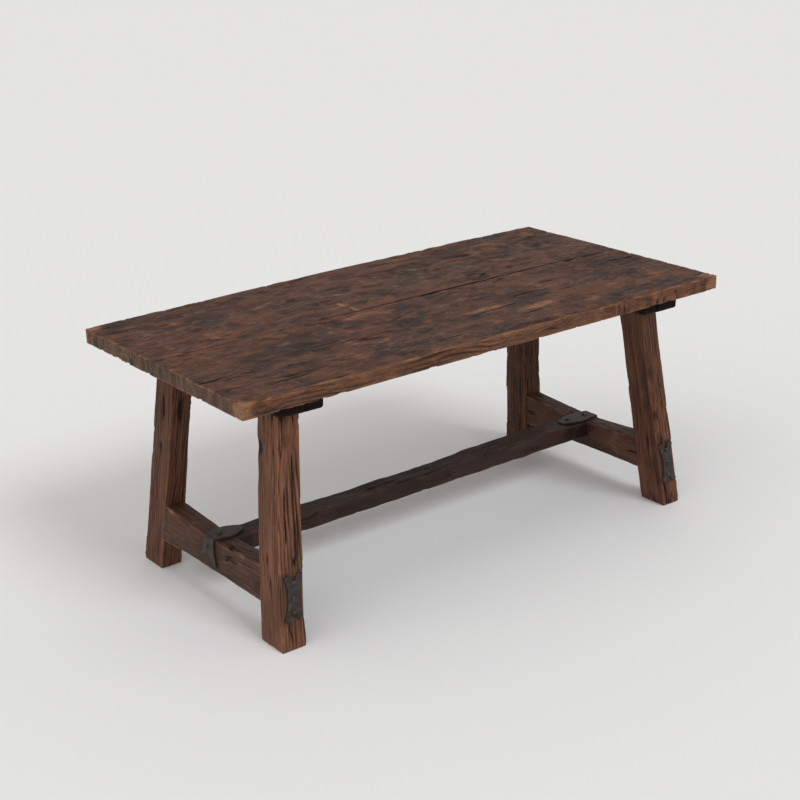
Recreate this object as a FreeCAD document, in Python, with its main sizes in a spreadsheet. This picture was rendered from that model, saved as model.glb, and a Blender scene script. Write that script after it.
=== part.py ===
"""Rustic low trestle table of hewn wood, with forged iron straps and plates.

Two planks lie on two cross battens. Four splayed legs are tenoned and wedged into the battens.
An end stretcher joins the legs of each end with through tenons, and one long stretcher joins
the two end stretchers. Butterfly plates cover the leg joints, and fish-tailed straps hold the
long stretcher down on the end stretchers.

The frame has X along the table, Y from front to back and Z up, with the origin on the floor
under the middle of the top.
"""
import FreeCAD, Part

import os
import re

import Sketcher
from FreeCAD import Placement, Rotation, Vector

# Driving sizes in millimetres
SIZES = [
    ("top_length", 1168, "top, along X"),
    ("top_depth", 593, "top at its deepest, along Y"),
    ("table_height", 500, "floor to the upper face of the planks"),
    ("plank_thickness", 28.5, "both planks"),
    ("back_taper", 22, "how much narrower the back plank is at its left end"),
    ("seam_place", 9, "seam behind the middle of the top"),
    ("seam_shrinkage", 1.7, "how far each plank has drawn back from the open part of the seam"),
    ("seam_open_start", -150, "left end of the open part of the seam"),
    ("seam_open_end", 420, "right end of the open part of the seam"),
    ("plank_arris", 2, "worn upper edges of the planks"),
    ("edge_wander", 2, "deepest hew in the front edge and the ends of the planks"),
    ("worn_corner", 3, "broken corners of the top"),
    ("peg_diameter", 12, "pegs across the seam"),
    ("peg_length", 70, "pegs across the seam"),
    ("peg_fit", 0.3, "clearance round a peg and at its ends"),
    ("trestle_shift", -16, "middle of the battens and legs behind the middle of the top"),
    ("batten_inset_left", 144.5, "left end of the top to the middle of its batten"),
    ("batten_inset_right", 126.5, "right end of the top to the middle of its batten"),
    ("batten_setback", 56.5, "half the depth of the top less half a batten's length"),
    ("batten_width", 98, "batten, along X"),
    ("batten_thickness", 35, "batten, along Z"),
    ("batten_arris", 9, "rounded lower edges of the battens"),
    ("screw_shank", 5, "batten screws"),
    ("screw_head", 10, "batten screws"),
    ("screw_head_height", 3.2, "batten screws"),
    ("screw_sink", 9, "depth of the counterbore under a screw head"),
    ("screw_bite", 16, "length of a screw in the plank"),
    ("screw_fit", 0.3, "clearance round a screw"),
    ("foot_inset", 91, "end of the top to the middle of a foot"),
    ("foot_setback", 72.5, "half the depth of the top less half the spread of the feet"),
    ("foot_width", 44.4, "leg at the floor, along X"),
    ("foot_depth", 67, "leg at the floor, along Y"),
    ("head_inset", 133.5, "end of the top to the middle of a leg's shoulder"),
    ("head_setback", 117, "half the depth of the top less half the spread of the shoulders"),
    ("head_width", 43.2, "leg at its shoulder, along X"),
    ("head_depth", 62.8, "leg at its shoulder, along Y"),
    ("leg_arris", 3, "worn corners of the legs"),
    ("leg_hewing", 2.2, "deepest hew in a leg face above the stretchers"),
    ("hewing_start", 165, "height where the hewn part of a leg begins"),
    ("leg_tenon_width", 26, "tenon at the leg's head, along X"),
    ("leg_tenon_depth", 40, "tenon at the leg's head, along Y"),
    ("tenon_relief", 1, "gap between a blind tenon's end and the wood over it"),
    ("wedge_thickness", 4, "wedge in a leg tenon, at its thick end"),
    ("wedge_point", 1.5, "wedge in a leg tenon, at its thin end"),
    ("wedge_length", 22, "wedge in a leg tenon"),
    ("wedge_room", 6, "how much narrower a wedge is than its tenon"),
    ("rail_thickness", 41, "end stretcher, along X"),
    ("rail_underside", 69, "floor to the end stretcher"),
    ("rail_shoulder_top", 138, "floor to the end stretcher's top beside the legs"),
    ("rail_arris", 2.5, "worn lower edges of the end stretchers"),
    ("strap_bed_length", 84, "flat middle of the end stretcher's top"),
    ("rail_tenon_thickness", 14, "end stretcher's tenon, along X"),
    ("rail_tenon_height", 44, "end stretcher's tenon, along Z"),
    ("joint_height", 97, "floor to the middle of the end stretcher's tenon and of its plate"),
    ("beam_top", 130, "floor to the long stretcher's top"),
    ("beam_height", 33, "long stretcher, along Z"),
    ("beam_width", 48, "long stretcher, along Y"),
    ("beam_bevel", 5, "waney upper back edge of the long stretcher"),
    ("beam_wane", 10, "wide waney upper front edge of the long stretcher, along Y"),
    ("beam_wane_drop", 2.5, "the same wane, along Z"),
    ("beam_tenon_width", 28, "long stretcher's tenon, along Y"),
    ("beam_tenon_height", 16, "long stretcher's tenon, along Z"),
    ("beam_tenon_length", 24, "long stretcher's tenon, from the face that it enters"),
    ("strap_thickness", 5, "forged straps"),
    ("strap_width", 50, "widest place of the straps"),
    ("strap_neck", 34, "strap where it bends over the end stretcher"),
    ("strap_tip", 15, "rounded leaf end of the straps"),
    ("strap_bend", 6, "outer radius of the bend"),
    ("strap_shift", 5, "middle of a strap behind the middle of the table"),
    ("strap_reach_left", 71, "left strap, from its bend to its leaf end"),
    ("strap_reach_right", 96, "right strap, from its bend to its leaf end"),
    ("tail_length", 52, "bend to the tips of the fish tail"),
    ("tail_width", 62, "fish tail across its tips"),
    ("tail_notch", 22, "depth of the notch in the fish tail"),
    ("tail_step", 9, "how much shorter the back prong of the fish tail is"),
    ("plate_thickness", 4, "butterfly plates"),
    ("plate_height", 90, "butterfly plates"),
    ("plate_width", 41, "butterfly plates across their horns"),
    ("plate_waist", 24, "butterfly plates at their waist"),
    ("plate_notch", 17, "depth of the notch between two horns"),
    ("horn_width", 11, "flat end of a horn"),
    ("nail_spacing", 28.5, "between the nails of a plate"),
    ("nail_head", 12, "square foot of a nail's head"),
    ("nail_head_height", 4, "forged pyramid of a nail's head"),
    ("nail_crown", 4, "square flat on top of the pyramid"),
    ("nail_shank", 5, "nail under its head"),
    ("nail_fit", 0.2, "clearance round a nail"),
    ("plate_nail_length", 30, "nails of the plates"),
    ("pin_nail_length", 44, "nail that pins the long stretcher's tenon"),
    ("pin_nail_inset", 5.1, "end of the long stretcher's tenon to the middle of its nail"),
    ("leaf_nail_length", 25, "nail at the leaf end of a long strap"),
    ("tail_nail_drop", 18, "bend to the nail of the fish tail"),
    ("tail_nail_shift", 11, "nail of the fish tail behind the middle of the table"),
    ("leaf_nail_place", 24, "leaf end to its nail"),
    ("cut_overrun", 2, "how far a cut runs past the wood"),
]

LEG_HEIGHT = "(table_height - plank_thickness - batten_thickness)"
PLANK_UNDERSIDE = "(table_height - plank_thickness)"
FOOT_REACH = "(top_length / 2 - foot_inset)"
FOOT_SPREAD = "(top_depth / 2 - foot_setback)"
HEAD_REACH = "(top_length / 2 - head_inset)"
HEAD_SPREAD = "(top_depth / 2 - head_setback)"
BATTEN_LENGTH = "(top_depth - 2 * batten_setback)"
DOWN = True
RIGHT_AND_BACK = 1
LEFT_AND_FRONT = -1

# Outer edges of the top: place along the edge and depth of the hew, as shares
FRONT_HEWING_SHARES = [(-0.36, 0.2), (-0.22, 1.0), (-0.05, 0.1), (0.13, 0.8), (0.27, 0.2), (0.4, 0.9)]
END_HEWING_SHARES = [(0.3, 0.7), (0.68, 0.2)]

# Back edge of the top from its left to its right end: place, and how much of the taper is left there
BACK_TAPER_SHARES = [
    (-0.5, 1.0), (-0.4, 0.73), (-0.26, 0.57), (-0.125, 0.27), (0, 0.1),
    (0.13, 0.05), (0.225, 0), (0.34, 0.04), (0.45, 0.13), (0.5, 0.25),
]

# Hewn sections of each leg: share of the way up, and shares of the hew taken off X and Y
LEG_HEWING_SHARES = {
    (LEFT_AND_FRONT, LEFT_AND_FRONT): [(0.3, 0.5, 0.2), (0.62, 0.1, 0.9)],
    (RIGHT_AND_BACK, LEFT_AND_FRONT): [(0.25, 0.2, 0.8), (0.7, 0.8, 0.2)],
    (LEFT_AND_FRONT, RIGHT_AND_BACK): [(0.35, 1.0, 0.6), (0.66, 0.2, 0.3)],
    (RIGHT_AND_BACK, RIGHT_AND_BACK): [(0.4, 0.6, 0.4), (0.75, 0.3, 1.0)],
}

PEG_PLACE_SHARES = [-0.42, -0.22, 0, 0.22, 0.42]

# Leaf of a strap: how far along its reach it bulges and is widest, and how full the bulge is
LEAF_BULGE_PLACE_SHARE = 0.26
LEAF_WIDEST_SHARE = 0.62
LEAF_BULGE_SHARE = 0.65

# How far the sides of the fish tail have flared at the middle of its length
TAIL_FLARE_SHARE = 0.25

# Butterfly plate: how far its sides have flared at a share of its height, and the slope of a horn
PLATE_FLARE_SHARE = 0.25
PLATE_FLARE_PLACE_SHARE = 0.2
HORN_SLOPE_SHARE = 0.33

# Batten screws: place along the batten and across it, as shares of its length and width
SCREW_PLACE_SHARES = [(-0.45, 0.2), (-0.13, -0.2), (0.16, 0.2), (0.45, -0.2)]

NAMES = {
    (LEFT_AND_FRONT, LEFT_AND_FRONT): "front_left",
    (RIGHT_AND_BACK, LEFT_AND_FRONT): "front_right",
    (LEFT_AND_FRONT, RIGHT_AND_BACK): "back_left",
    (RIGHT_AND_BACK, RIGHT_AND_BACK): "back_right",
}
SIDES = {LEFT_AND_FRONT: "left", RIGHT_AND_BACK: "right"}

document = FreeCAD.newDocument("trestle_table")
nodes = []


# Sheet and formulas
def make_sheet():
    """Writes the driving sizes into the sheet, one named value in each row."""
    sheet = document.addObject("Spreadsheet::Sheet", "Sizes")
    for row, (name, number, note) in enumerate(SIZES, start=1):
        sheet.set(f"A{row}", name)
        sheet.set(f"B{row}", str(number))
        sheet.set(f"C{row}", note)
        sheet.setAlias(f"B{row}", name)
    document.recompute()
    return sheet


def formula(text):
    """The expression in which every size name points to the sheet."""
    return re.sub(r"[a-z]+(?:_[a-z]+)+", lambda match: "Sizes." + match.group(), str(text))


def value(owner, text):
    """The number that a formula gives."""
    result = owner.evalExpression(formula(text))
    return float(getattr(result, "Value", result))


# Measures that several pieces share
def leg_measure(at_foot, at_head, height):
    """A measure of the legs at some height, between its values at the floor and at the shoulder."""
    return f"({at_foot} + ({at_head} - {at_foot}) * ({height}) / {LEG_HEIGHT})"


def leg_centre(side, row, height):
    """The middle of a leg's section at some height."""
    x = leg_measure(FOOT_REACH, HEAD_REACH, height)
    y = leg_measure(FOOT_SPREAD, HEAD_SPREAD, height)
    return f"({side} * {x})", f"({row} * {y})"


def outer_face(height):
    """Distance from the middle of the table to the outer face of the legs and end stretchers."""
    return leg_measure(f"({FOOT_REACH} + foot_width / 2)", f"({HEAD_REACH} + head_width / 2)", height)


def leg_face(which, height):
    """Distance in Y from the middle of the table to a leg's outer (+) or inner (-) face."""
    at_foot = f"({FOOT_SPREAD} {which} foot_depth / 2)"
    return leg_measure(at_foot, f"({HEAD_SPREAD} {which} head_depth / 2)", height)


END_SLOPE = f"(({outer_face('0')} - {outer_face(LEG_HEIGHT)}) / {LEG_HEIGHT})"
FACE_SLOPE = f"(({leg_face('+', '0')} - {leg_face('+', LEG_HEIGHT)}) / {LEG_HEIGHT})"
LEAN = f"((head_inset - foot_inset) / {LEG_HEIGHT} * cos(atan({FACE_SLOPE})))"
BEND_PLACE = outer_face("beam_top")
BEAM_TENON_END = f"({outer_face('beam_top - beam_height / 2')} - rail_thickness + beam_tenon_length)"
TAIL_NAIL_LENGTH = "(rail_thickness - beam_tenon_length - 2 * tenon_relief)"


# Bodies, sketches and features
def make_body(label, shift="trestle_shift"):
    """A body that becomes a node of that name, set along Y where its own middle is."""
    body = document.addObject("PartDesign::Body", label)
    body.Label = label
    body.setExpression("Placement.Base.y", formula(shift))
    nodes.append(body)
    return body


def set_frame(owner, path, frame):
    """Places a body or sketch: frame holds the formulas x, y and z, the axis and the angle formula."""
    x, y, z, axis, angle = frame
    if path == "Placement":
        y = f"{y} + trestle_shift"
    setattr(owner, path, Placement(Vector(), Rotation(axis, value(owner, angle))))
    for letter, text in zip("xyz", (x, y, z)):
        owner.setExpression(f"{path}.Base.{letter}", formula(text))
    owner.setExpression(f"{path}.Rotation.Angle", formula(angle))


def attach(item, body, plane):
    """Attaches a sketch or solid to an origin plane of the body."""
    origin_plane = next(found for found in body.Origin.OriginFeatures if found.Role == plane)
    item.AttachmentSupport = [(origin_plane, "")]
    item.MapMode = "FlatFace"


def make_sketch(body, plane, offset=None, frame=None):
    """A sketch on an origin plane of the body, moved along its normal or set in a frame."""
    sketch = body.newObject("Sketcher::SketchObject", "Sketch")
    attach(sketch, body, plane)
    if offset is not None:
        sketch.setExpression("AttachmentOffset.Base.z", formula(offset))
    if frame is not None:
        set_frame(sketch, "AttachmentOffset", frame)
    return sketch


def pin_point(sketch, geometry, end, x, y):
    """Ties one point of the sketch to the formulas of its two coordinates."""
    for kind, text in (("DistanceX", x), ("DistanceY", y)):
        index = sketch.addConstraint(
            Sketcher.Constraint(kind, -1, 1, geometry, end, value(sketch, text))
        )
        sketch.setExpression(f".Constraints[{index}]", formula(text))


def add_outline(sketch, corners, arcs=None):
    """Draws a closed outline through corners, each a pair of formulas.

    arcs gives, for each round side, the point that its arc passes through.
    """
    arcs = arcs or {}
    points = [Vector(value(sketch, x), value(sketch, y), 0) for x, y in corners]
    sides = []
    for index, start in enumerate(points):
        end = points[(index + 1) % len(points)]
        if index in arcs:
            through = Vector(value(sketch, arcs[index][0]), value(sketch, arcs[index][1]), 0)
            side = sketch.addGeometry(Part.Arc(start, through, end), False)
            on_arc = sketch.addGeometry(Part.Point(through), True)
            pin_point(sketch, on_arc, 1, *arcs[index])
            sketch.addConstraint(Sketcher.Constraint("PointOnObject", on_arc, 1, side))
        else:
            side = sketch.addGeometry(Part.LineSegment(start, end), False)
        sides.append(side)

    def end_at(side, point):
        """Which end of a side lies at the point: 1 for its start, 2 for its end."""
        gaps = [(sketch.getPoint(side, end) - point).Length for end in (1, 2)]
        return 1 if gaps[0] < gaps[1] else 2

    for index, side in enumerate(sides):
        following = (index + 1) % len(sides)
        corner = points[following]
        first = end_at(side, corner)
        second = end_at(sides[following], corner)
        sketch.addConstraint(Sketcher.Constraint("Coincident", side, first, sides[following], second))
        pin_point(sketch, side, first, *corners[following])


def add_circle(sketch, x, y, diameter):
    """A circle whose middle and diameter are formulas."""
    middle = Vector(value(sketch, x), value(sketch, y), 0)
    circle = Part.Circle(middle, Vector(0, 0, 1), value(sketch, diameter) / 2)
    geometry = sketch.addGeometry(circle, False)
    pin_point(sketch, geometry, 3, x, y)
    index = sketch.addConstraint(Sketcher.Constraint("Diameter", geometry, value(sketch, diameter)))
    sketch.setExpression(f".Constraints[{index}]", formula(diameter))


def box_corners(x, y, width, height):
    """The corners of a rectangle round a middle."""
    return [
        (f"{x} - {width} / 2", f"{y} - {height} / 2"),
        (f"{x} + {width} / 2", f"{y} - {height} / 2"),
        (f"{x} + {width} / 2", f"{y} + {height} / 2"),
        (f"{x} - {width} / 2", f"{y} + {height} / 2"),
    ]


def worn_corners(x, y, width, height, arris):
    """The corners of a rectangle round a middle, with every corner worn off at 45 degrees."""
    corners = []
    for across, up in ((1, -1), (1, 1), (-1, 1), (-1, -1)):
        along_side = (f"{x} + {across} * {width} / 2", f"{y} + {up} * ({height} / 2 - {arris})")
        along_end = (f"{x} + {across} * ({width} / 2 - {arris})", f"{y} + {up} * {height} / 2")
        corners += [along_side, along_end] if across == up else [along_end, along_side]
    return corners


def feature(body, kind, profile, length=None, side_type="One side", reverse=False, through=False):
    """A pad or pocket from a sketch."""
    made = body.newObject(f"PartDesign::{kind}", kind)
    made.Profile = profile
    made.SideType = side_type
    made.Reversed = reverse
    if through:
        made.Type = "ThroughAll"
    else:
        made.setExpression("Length", formula(length))
    return made


def loft(body, kind, sketches):
    """A loft with flat hewn faces through several sketches."""
    made = body.newObject(f"PartDesign::{kind}", kind)
    made.Profile = sketches[0]
    made.Sections = sketches[1:]
    made.Ruled = True
    return made


def trim_outside(body, plane, corners, arcs=None):
    """Takes away all that lies outside an outline, seen square to the plane."""
    sketch = make_sketch(body, plane)
    add_outline(sketch, corners, arcs)
    add_outline(sketch, box_corners("0", "0", "2 * top_length", "2 * top_length"))
    return feature(body, "Pocket", sketch, side_type="Symmetric", through=True)


# Wood of the top
def plank_outline(row):
    """The plan of one plank: hewn outer edges, and an inner edge drawn back where the seam is open."""
    half = "top_length / 2"
    if row == LEFT_AND_FRONT:
        left_edge = right_edge = "(-top_depth / 2)"
        outer = [(f"top_length * {place}", f"-top_depth / 2 + edge_wander * {hew}")
                 for place, hew in FRONT_HEWING_SHARES]
    else:
        outer = [(f"top_length * {place}", f"(top_depth / 2 - back_taper * {share})")
                 for place, share in BACK_TAPER_SHARES]
        left_edge = outer.pop(0)[1]
        right_edge = outer.pop()[1]
    depth = f"({left_edge} - seam_place)"
    left_end = [(f"-{half} + edge_wander * {hew}", f"seam_place + {depth} * {place}")
                for place, hew in END_HEWING_SHARES]
    right_end = [(f"{half} - edge_wander * {hew}", f"seam_place + {depth} * {place}")
                 for place, hew in END_HEWING_SHARES]
    left_corner = [(f"-{half}", f"{left_edge} - {row} * worn_corner"),
                   (f"-{half} + worn_corner", left_edge)]
    right_corner = [(f"{half} - worn_corner", right_edge),
                    (half, f"{right_edge} - {row} * worn_corner")]
    seam = [
        (half, "seam_place"),
        ("seam_open_end", "seam_place"),
        ("seam_open_start", "seam_place"),
        (f"-{half}", "seam_place"),
    ]
    corners = left_end + left_corner + outer + right_corner + right_end[::-1] + seam
    arc_side = len(corners) - 3
    arc_middle = ("(seam_open_start + seam_open_end) / 2", f"seam_place + {row} * seam_shrinkage")
    return corners, {arc_side: arc_middle}


def make_plank(label, row):
    """One plank of the top, with its worn upper edges, peg holes and screw holes."""
    body = make_body(label, shift="0")
    sketch = make_sketch(body, "XY_Plane", PLANK_UNDERSIDE)
    add_outline(sketch, *plank_outline(row))
    feature(body, "Pad", sketch, "plank_thickness")
    document.recompute()
    wear_upper_edges(body, row)

    holes = make_sketch(body, "XZ_Plane", "-seam_place")
    for share in PEG_PLACE_SHARES:
        peg_height = "table_height - plank_thickness / 2"
        add_circle(holes, f"top_length * {share}", peg_height, "peg_diameter + 2 * peg_fit")
    feature(body, "Pocket", holes, "peg_length / 2 + peg_fit", reverse=row == LEFT_AND_FRONT)

    pilots = make_sketch(body, "XY_Plane", PLANK_UNDERSIDE)
    for side in SIDES:
        for x, y in screw_places(side):
            place = f"{y} + trestle_shift"
            if (value(pilots, place) > value(pilots, "seam_place")) == (row == RIGHT_AND_BACK):
                add_circle(pilots, x, place, "screw_shank + 2 * screw_fit")
    feature(body, "Pocket", pilots, "screw_bite + screw_fit", reverse=True)


def wear_upper_edges(body, row):
    """Chamfers the upper edges of a plank, apart from the one along the seam."""
    top = value(body, "table_height")
    near_seam = value(body, "seam_place") + row * value(body, "seam_shrinkage + cut_overrun")
    base = body.Tip
    edges = []
    for index, edge in enumerate(base.Shape.Edges, start=1):
        box = edge.BoundBox
        is_upper = box.ZMin > top - value(body, "plank_arris")
        is_outer = row * (box.YMax + box.YMin) / 2 > row * near_seam
        if is_upper and is_outer:
            edges.append(f"Edge{index}")
    wear = body.newObject("PartDesign::Chamfer", "Chamfer")
    wear.Base = (base, edges)
    wear.setExpression("Size", formula("plank_arris"))


def make_pegs():
    """The loose pegs across the seam."""
    body = make_body("plank_pegs", shift="0")
    sketch = make_sketch(body, "XZ_Plane", "-seam_place")
    for share in PEG_PLACE_SHARES:
        peg_height = "table_height - plank_thickness / 2"
        add_circle(sketch, f"top_length * {share}", peg_height, "peg_diameter")
    feature(body, "Pad", sketch, "peg_length", side_type="Symmetric")


# Battens and their screws
def batten_middle(side):
    """The middle of a batten along X."""
    return f"({side} * (top_length / 2 - batten_inset_{SIDES[side]}))"


def screw_places(side):
    """The middles of one batten's screws, as formulas."""
    return [
        (f"{batten_middle(side)} + batten_width * {across}", f"{BATTEN_LENGTH} * {along}")
        for along, across in SCREW_PLACE_SHARES
    ]


def leg_tenon_section(body, side, row, height):
    """A section of the tenon at a leg's head, which keeps the lean of the leg."""
    sketch = make_sketch(body, "XY_Plane", height)
    x, y = leg_centre(side, row, height)
    add_outline(sketch, box_corners(x, y, "leg_tenon_width", "leg_tenon_depth"))
    return sketch


def make_batten(side):
    """A cross batten with the two leaning mortises of its legs and the holes of its screws."""
    body = make_body(f"batten_{SIDES[side]}")
    middle = batten_middle(side)
    left = f"{middle} - batten_width / 2"
    right = f"{middle} + batten_width / 2"
    section = make_sketch(body, "XZ_Plane")
    add_outline(section, [
        (f"{left} + batten_arris", LEG_HEIGHT),
        (f"{right} - batten_arris", LEG_HEIGHT),
        (right, f"{LEG_HEIGHT} + batten_arris"),
        (right, PLANK_UNDERSIDE),
        (left, PLANK_UNDERSIDE),
        (left, f"{LEG_HEIGHT} + batten_arris"),
    ])
    feature(body, "Pad", section, BATTEN_LENGTH, side_type="Symmetric")
    for row in SIDES:
        low = leg_tenon_section(body, side, row, f"{LEG_HEIGHT} - cut_overrun")
        high = leg_tenon_section(body, side, row, f"{PLANK_UNDERSIDE} + cut_overrun")
        loft(body, "SubtractiveLoft", [low, high])
    shanks = make_sketch(body, "XY_Plane", LEG_HEIGHT)
    counterbores = make_sketch(body, "XY_Plane", LEG_HEIGHT)
    for x, y in screw_places(side):
        add_circle(shanks, x, y, "screw_shank + 2 * screw_fit")
        add_circle(counterbores, x, y, "screw_head + 2 * screw_fit")
    feature(body, "Pocket", shanks, reverse=True, through=True)
    feature(body, "Pocket", counterbores, "screw_sink", reverse=True)


def make_screws(side):
    """The screws of one batten, with their heads on the floors of the counterbores."""
    body = make_body(f"batten_screws_{SIDES[side]}")
    seat = f"{LEG_HEIGHT} + screw_sink"
    heads = make_sketch(body, "XY_Plane", seat)
    shanks = make_sketch(body, "XY_Plane", seat)
    for x, y in screw_places(side):
        add_circle(heads, x, y, "screw_head")
        add_circle(shanks, x, y, "screw_shank")
    feature(body, "Pad", heads, "screw_head_height", reverse=DOWN)
    feature(body, "Pad", shanks, "batten_thickness - screw_sink + screw_bite")


# Legs and their wedges
def make_leg(side, row):
    """A splayed leg: worn foot, hewn faces, and a kerfed tenon at its head."""
    body = make_body(f"leg_{NAMES[side, row]}")

    def section(height, hew_x="0", hew_y="0", wear="0"):
        """A worn rectangle at some height, with some wood hewn off its faces."""
        sketch = make_sketch(body, "XY_Plane", height)
        x, y = leg_centre(side, row, height)
        width = leg_measure("foot_width", "head_width", height)
        depth = leg_measure("foot_depth", "head_depth", height)
        across = f"({width} - 2 * {wear} - leg_hewing * {hew_x})"
        along = f"({depth} - 2 * {wear} - leg_hewing * {hew_y})"
        add_outline(sketch, worn_corners(x, y, across, along, "leg_arris"))
        return sketch

    sections = [section("0", wear="leg_arris"), section("leg_arris"), section("hewing_start")]
    for share, hew_x, hew_y in LEG_HEWING_SHARES[side, row]:
        height = f"(hewing_start + ({LEG_HEIGHT} - hewing_start) * {share})"
        sections.append(section(height, str(hew_x), str(hew_y)))
    sections.append(section(LEG_HEIGHT))
    loft(body, "AdditiveLoft", sections)

    tenon_top = f"({PLANK_UNDERSIDE} - tenon_relief)"
    shoulder = leg_tenon_section(body, side, row, LEG_HEIGHT)
    end = leg_tenon_section(body, side, row, tenon_top)
    loft(body, "AdditiveLoft", [shoulder, end])

    kerf = make_sketch(body, "YZ_Plane")
    add_outline(kerf, wedge_outline(side, row, "cut_overrun"))
    feature(body, "Pocket", kerf, side_type="Symmetric", through=True)

    mortise = make_sketch(body, "XZ_Plane")
    add_outline(mortise, rail_tenon_section(side))
    feature(body, "Pocket", mortise, side_type="Symmetric", through=True)

    for up in (-1, 1):
        hole = make_sketch(body, "XY_Plane", frame=plate_frame(side, row))
        add_outline(hole, nail_hole(*plate_point(side, row, "0", f"{up} * nail_spacing")))
        feature(body, "Pocket", hole, "plate_nail_length + nail_fit")


def wedge_outline(side, row, overrun="0"):
    """The wedge in a leg tenon, seen from the end of the table."""
    top = f"({PLANK_UNDERSIDE} - tenon_relief)"
    y = leg_centre(side, row, f"{top} - wedge_length / 2")[1]
    flare = f"(wedge_thickness - wedge_point) / 2 * {overrun} / wedge_length"
    return [
        (f"{y} - wedge_point / 2", f"{top} - wedge_length"),
        (f"{y} + wedge_point / 2", f"{top} - wedge_length"),
        (f"{y} + wedge_thickness / 2 + {flare}", f"{top} + {overrun}"),
        (f"{y} - wedge_thickness / 2 - {flare}", f"{top} + {overrun}"),
    ]


def make_wedges(side):
    """The two wedges in one batten's leg tenons."""
    body = make_body(f"leg_wedges_{SIDES[side]}")
    for row in SIDES:
        middle_height = f"{PLANK_UNDERSIDE} - tenon_relief - wedge_length / 2"
        sketch = make_sketch(body, "YZ_Plane", leg_centre(side, row, middle_height)[0])
        add_outline(sketch, wedge_outline(side, row))
        feature(body, "Pad", sketch, "leg_tenon_width - wedge_room", side_type="Symmetric")


# End stretchers
def rail_tenon_section(side):
    """The end stretcher's tenon seen from the front, leaning with the legs."""
    low = "(joint_height - rail_tenon_height / 2)"
    high = "(joint_height + rail_tenon_height / 2)"
    corners = []
    for height, halves in ((low, (-1, 1)), (high, (1, -1))):
        middle = f"({outer_face(height)} - rail_thickness / 2)"
        for half in halves:
            corners.append((f"{side} * ({middle} + {half} * rail_tenon_thickness / 2)", height))
    return corners


def make_end_stretcher(side):
    """An end stretcher, flush with the legs, with through tenons and a mortise in its middle."""
    body = make_body(f"end_stretcher_{SIDES[side]}")
    low = "rail_underside"
    high = "rail_shoulder_top"
    worn_low = "(rail_underside + rail_arris)"
    section = make_sketch(body, "XZ_Plane")
    add_outline(section, [
        (f"{side} * ({outer_face(low)} - rail_thickness + rail_arris)", low),
        (f"{side} * ({outer_face(low)} - rail_arris)", low),
        (f"{side} * {outer_face(worn_low)}", worn_low),
        (f"{side} * {outer_face(high)}", high),
        (f"{side} * ({outer_face(high)} - rail_thickness)", high),
        (f"{side} * ({outer_face(worn_low)} - rail_thickness)", worn_low),
    ])
    feature(body, "Pad", section, "top_depth", side_type="Symmetric")
    under = f"({low} - cut_overrun)"
    over = f"({high} + cut_overrun)"
    trim_outside(body, "YZ_Plane", [
        (f"-{leg_face('-', under)}", under),
        (leg_face("-", under), under),
        (leg_face("-", high), high),
        ("strap_bed_length / 2", "beam_top"),
        ("-strap_bed_length / 2", "beam_top"),
        (f"-{leg_face('-', high)}", high),
    ])
    tenons = make_sketch(body, "XZ_Plane")
    add_outline(tenons, rail_tenon_section(side))
    feature(body, "Pad", tenons, "top_depth", side_type="Symmetric")
    trim_outside(body, "YZ_Plane", [
        (f"-{leg_face('+', under)}", under),
        (leg_face("+", under), under),
        (leg_face("+", over), over),
        (f"-{leg_face('+', over)}", over),
    ])
    mortise = make_sketch(body, "YZ_Plane", f"{side} * {BEAM_TENON_END} + {side} * tenon_relief")
    add_outline(mortise, beam_tenon_section())
    feature(body, "Pocket", mortise, "rail_thickness", reverse=side == LEFT_AND_FRONT)
    pin_hole = make_sketch(body, "XY_Plane", "beam_top")
    add_outline(pin_hole, nail_hole(*pin_nail_place(side)))
    feature(body, "Pocket", pin_hole, "pin_nail_length - strap_thickness + nail_fit")
    tail_hole = make_sketch(body, "XY_Plane", frame=tail_frame(side))
    add_outline(tail_hole, nail_hole("0", "0"))
    feature(body, "Pocket", tail_hole, f"{TAIL_NAIL_LENGTH} + nail_fit")
    for row in SIDES:
        hole = make_sketch(body, "XY_Plane", frame=plate_frame(side, row))
        add_outline(hole, nail_hole(*plate_point(side, row, "0", "0")))
        feature(body, "Pocket", hole, "plate_nail_length + nail_fit")


# Long stretcher
def beam_tenon_section():
    """The long stretcher's tenon, seen from the end of the table."""
    return box_corners("0", "(beam_top - beam_height / 2)", "beam_tenon_width", "beam_tenon_height")


def make_long_stretcher():
    """The long stretcher, with waney upper edges and a pinned tenon at each end."""
    body = make_body("long_stretcher")
    low = "(beam_top - beam_height)"
    section = make_sketch(body, "YZ_Plane")
    add_outline(section, [
        ("-beam_width / 2", low),
        ("beam_width / 2", low),
        ("beam_width / 2", "beam_top - beam_bevel"),
        ("beam_width / 2 - beam_bevel", "beam_top"),
        ("-beam_width / 2 + beam_wane", "beam_top"),
        ("-beam_width / 2", "beam_top - beam_wane_drop"),
    ])
    feature(body, "Pad", section, f"2 * {outer_face(low)}", side_type="Symmetric")
    under = f"({low} - cut_overrun)"
    over = "(beam_top + cut_overrun)"
    trim_outside(body, "XZ_Plane", [
        (f"-({outer_face(under)} - rail_thickness)", under),
        (f"({outer_face(under)} - rail_thickness)", under),
        (f"({outer_face(over)} - rail_thickness)", over),
        (f"-({outer_face(over)} - rail_thickness)", over),
    ])
    tenon = make_sketch(body, "YZ_Plane")
    add_outline(tenon, beam_tenon_section())
    feature(body, "Pad", tenon, f"2 * {BEAM_TENON_END}", side_type="Symmetric")
    for side in SIDES:
        hole = make_sketch(body, "XY_Plane", "beam_top")
        add_outline(hole, nail_hole(*pin_nail_place(side)))
        feature(body, "Pocket", hole, "beam_height")
    leaf_hole = make_sketch(body, "XY_Plane", "beam_top")
    add_outline(leaf_hole, nail_hole(*leaf_nail_place()))
    feature(body, "Pocket", leaf_hole, "leaf_nail_length - strap_thickness + nail_fit")


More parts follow.
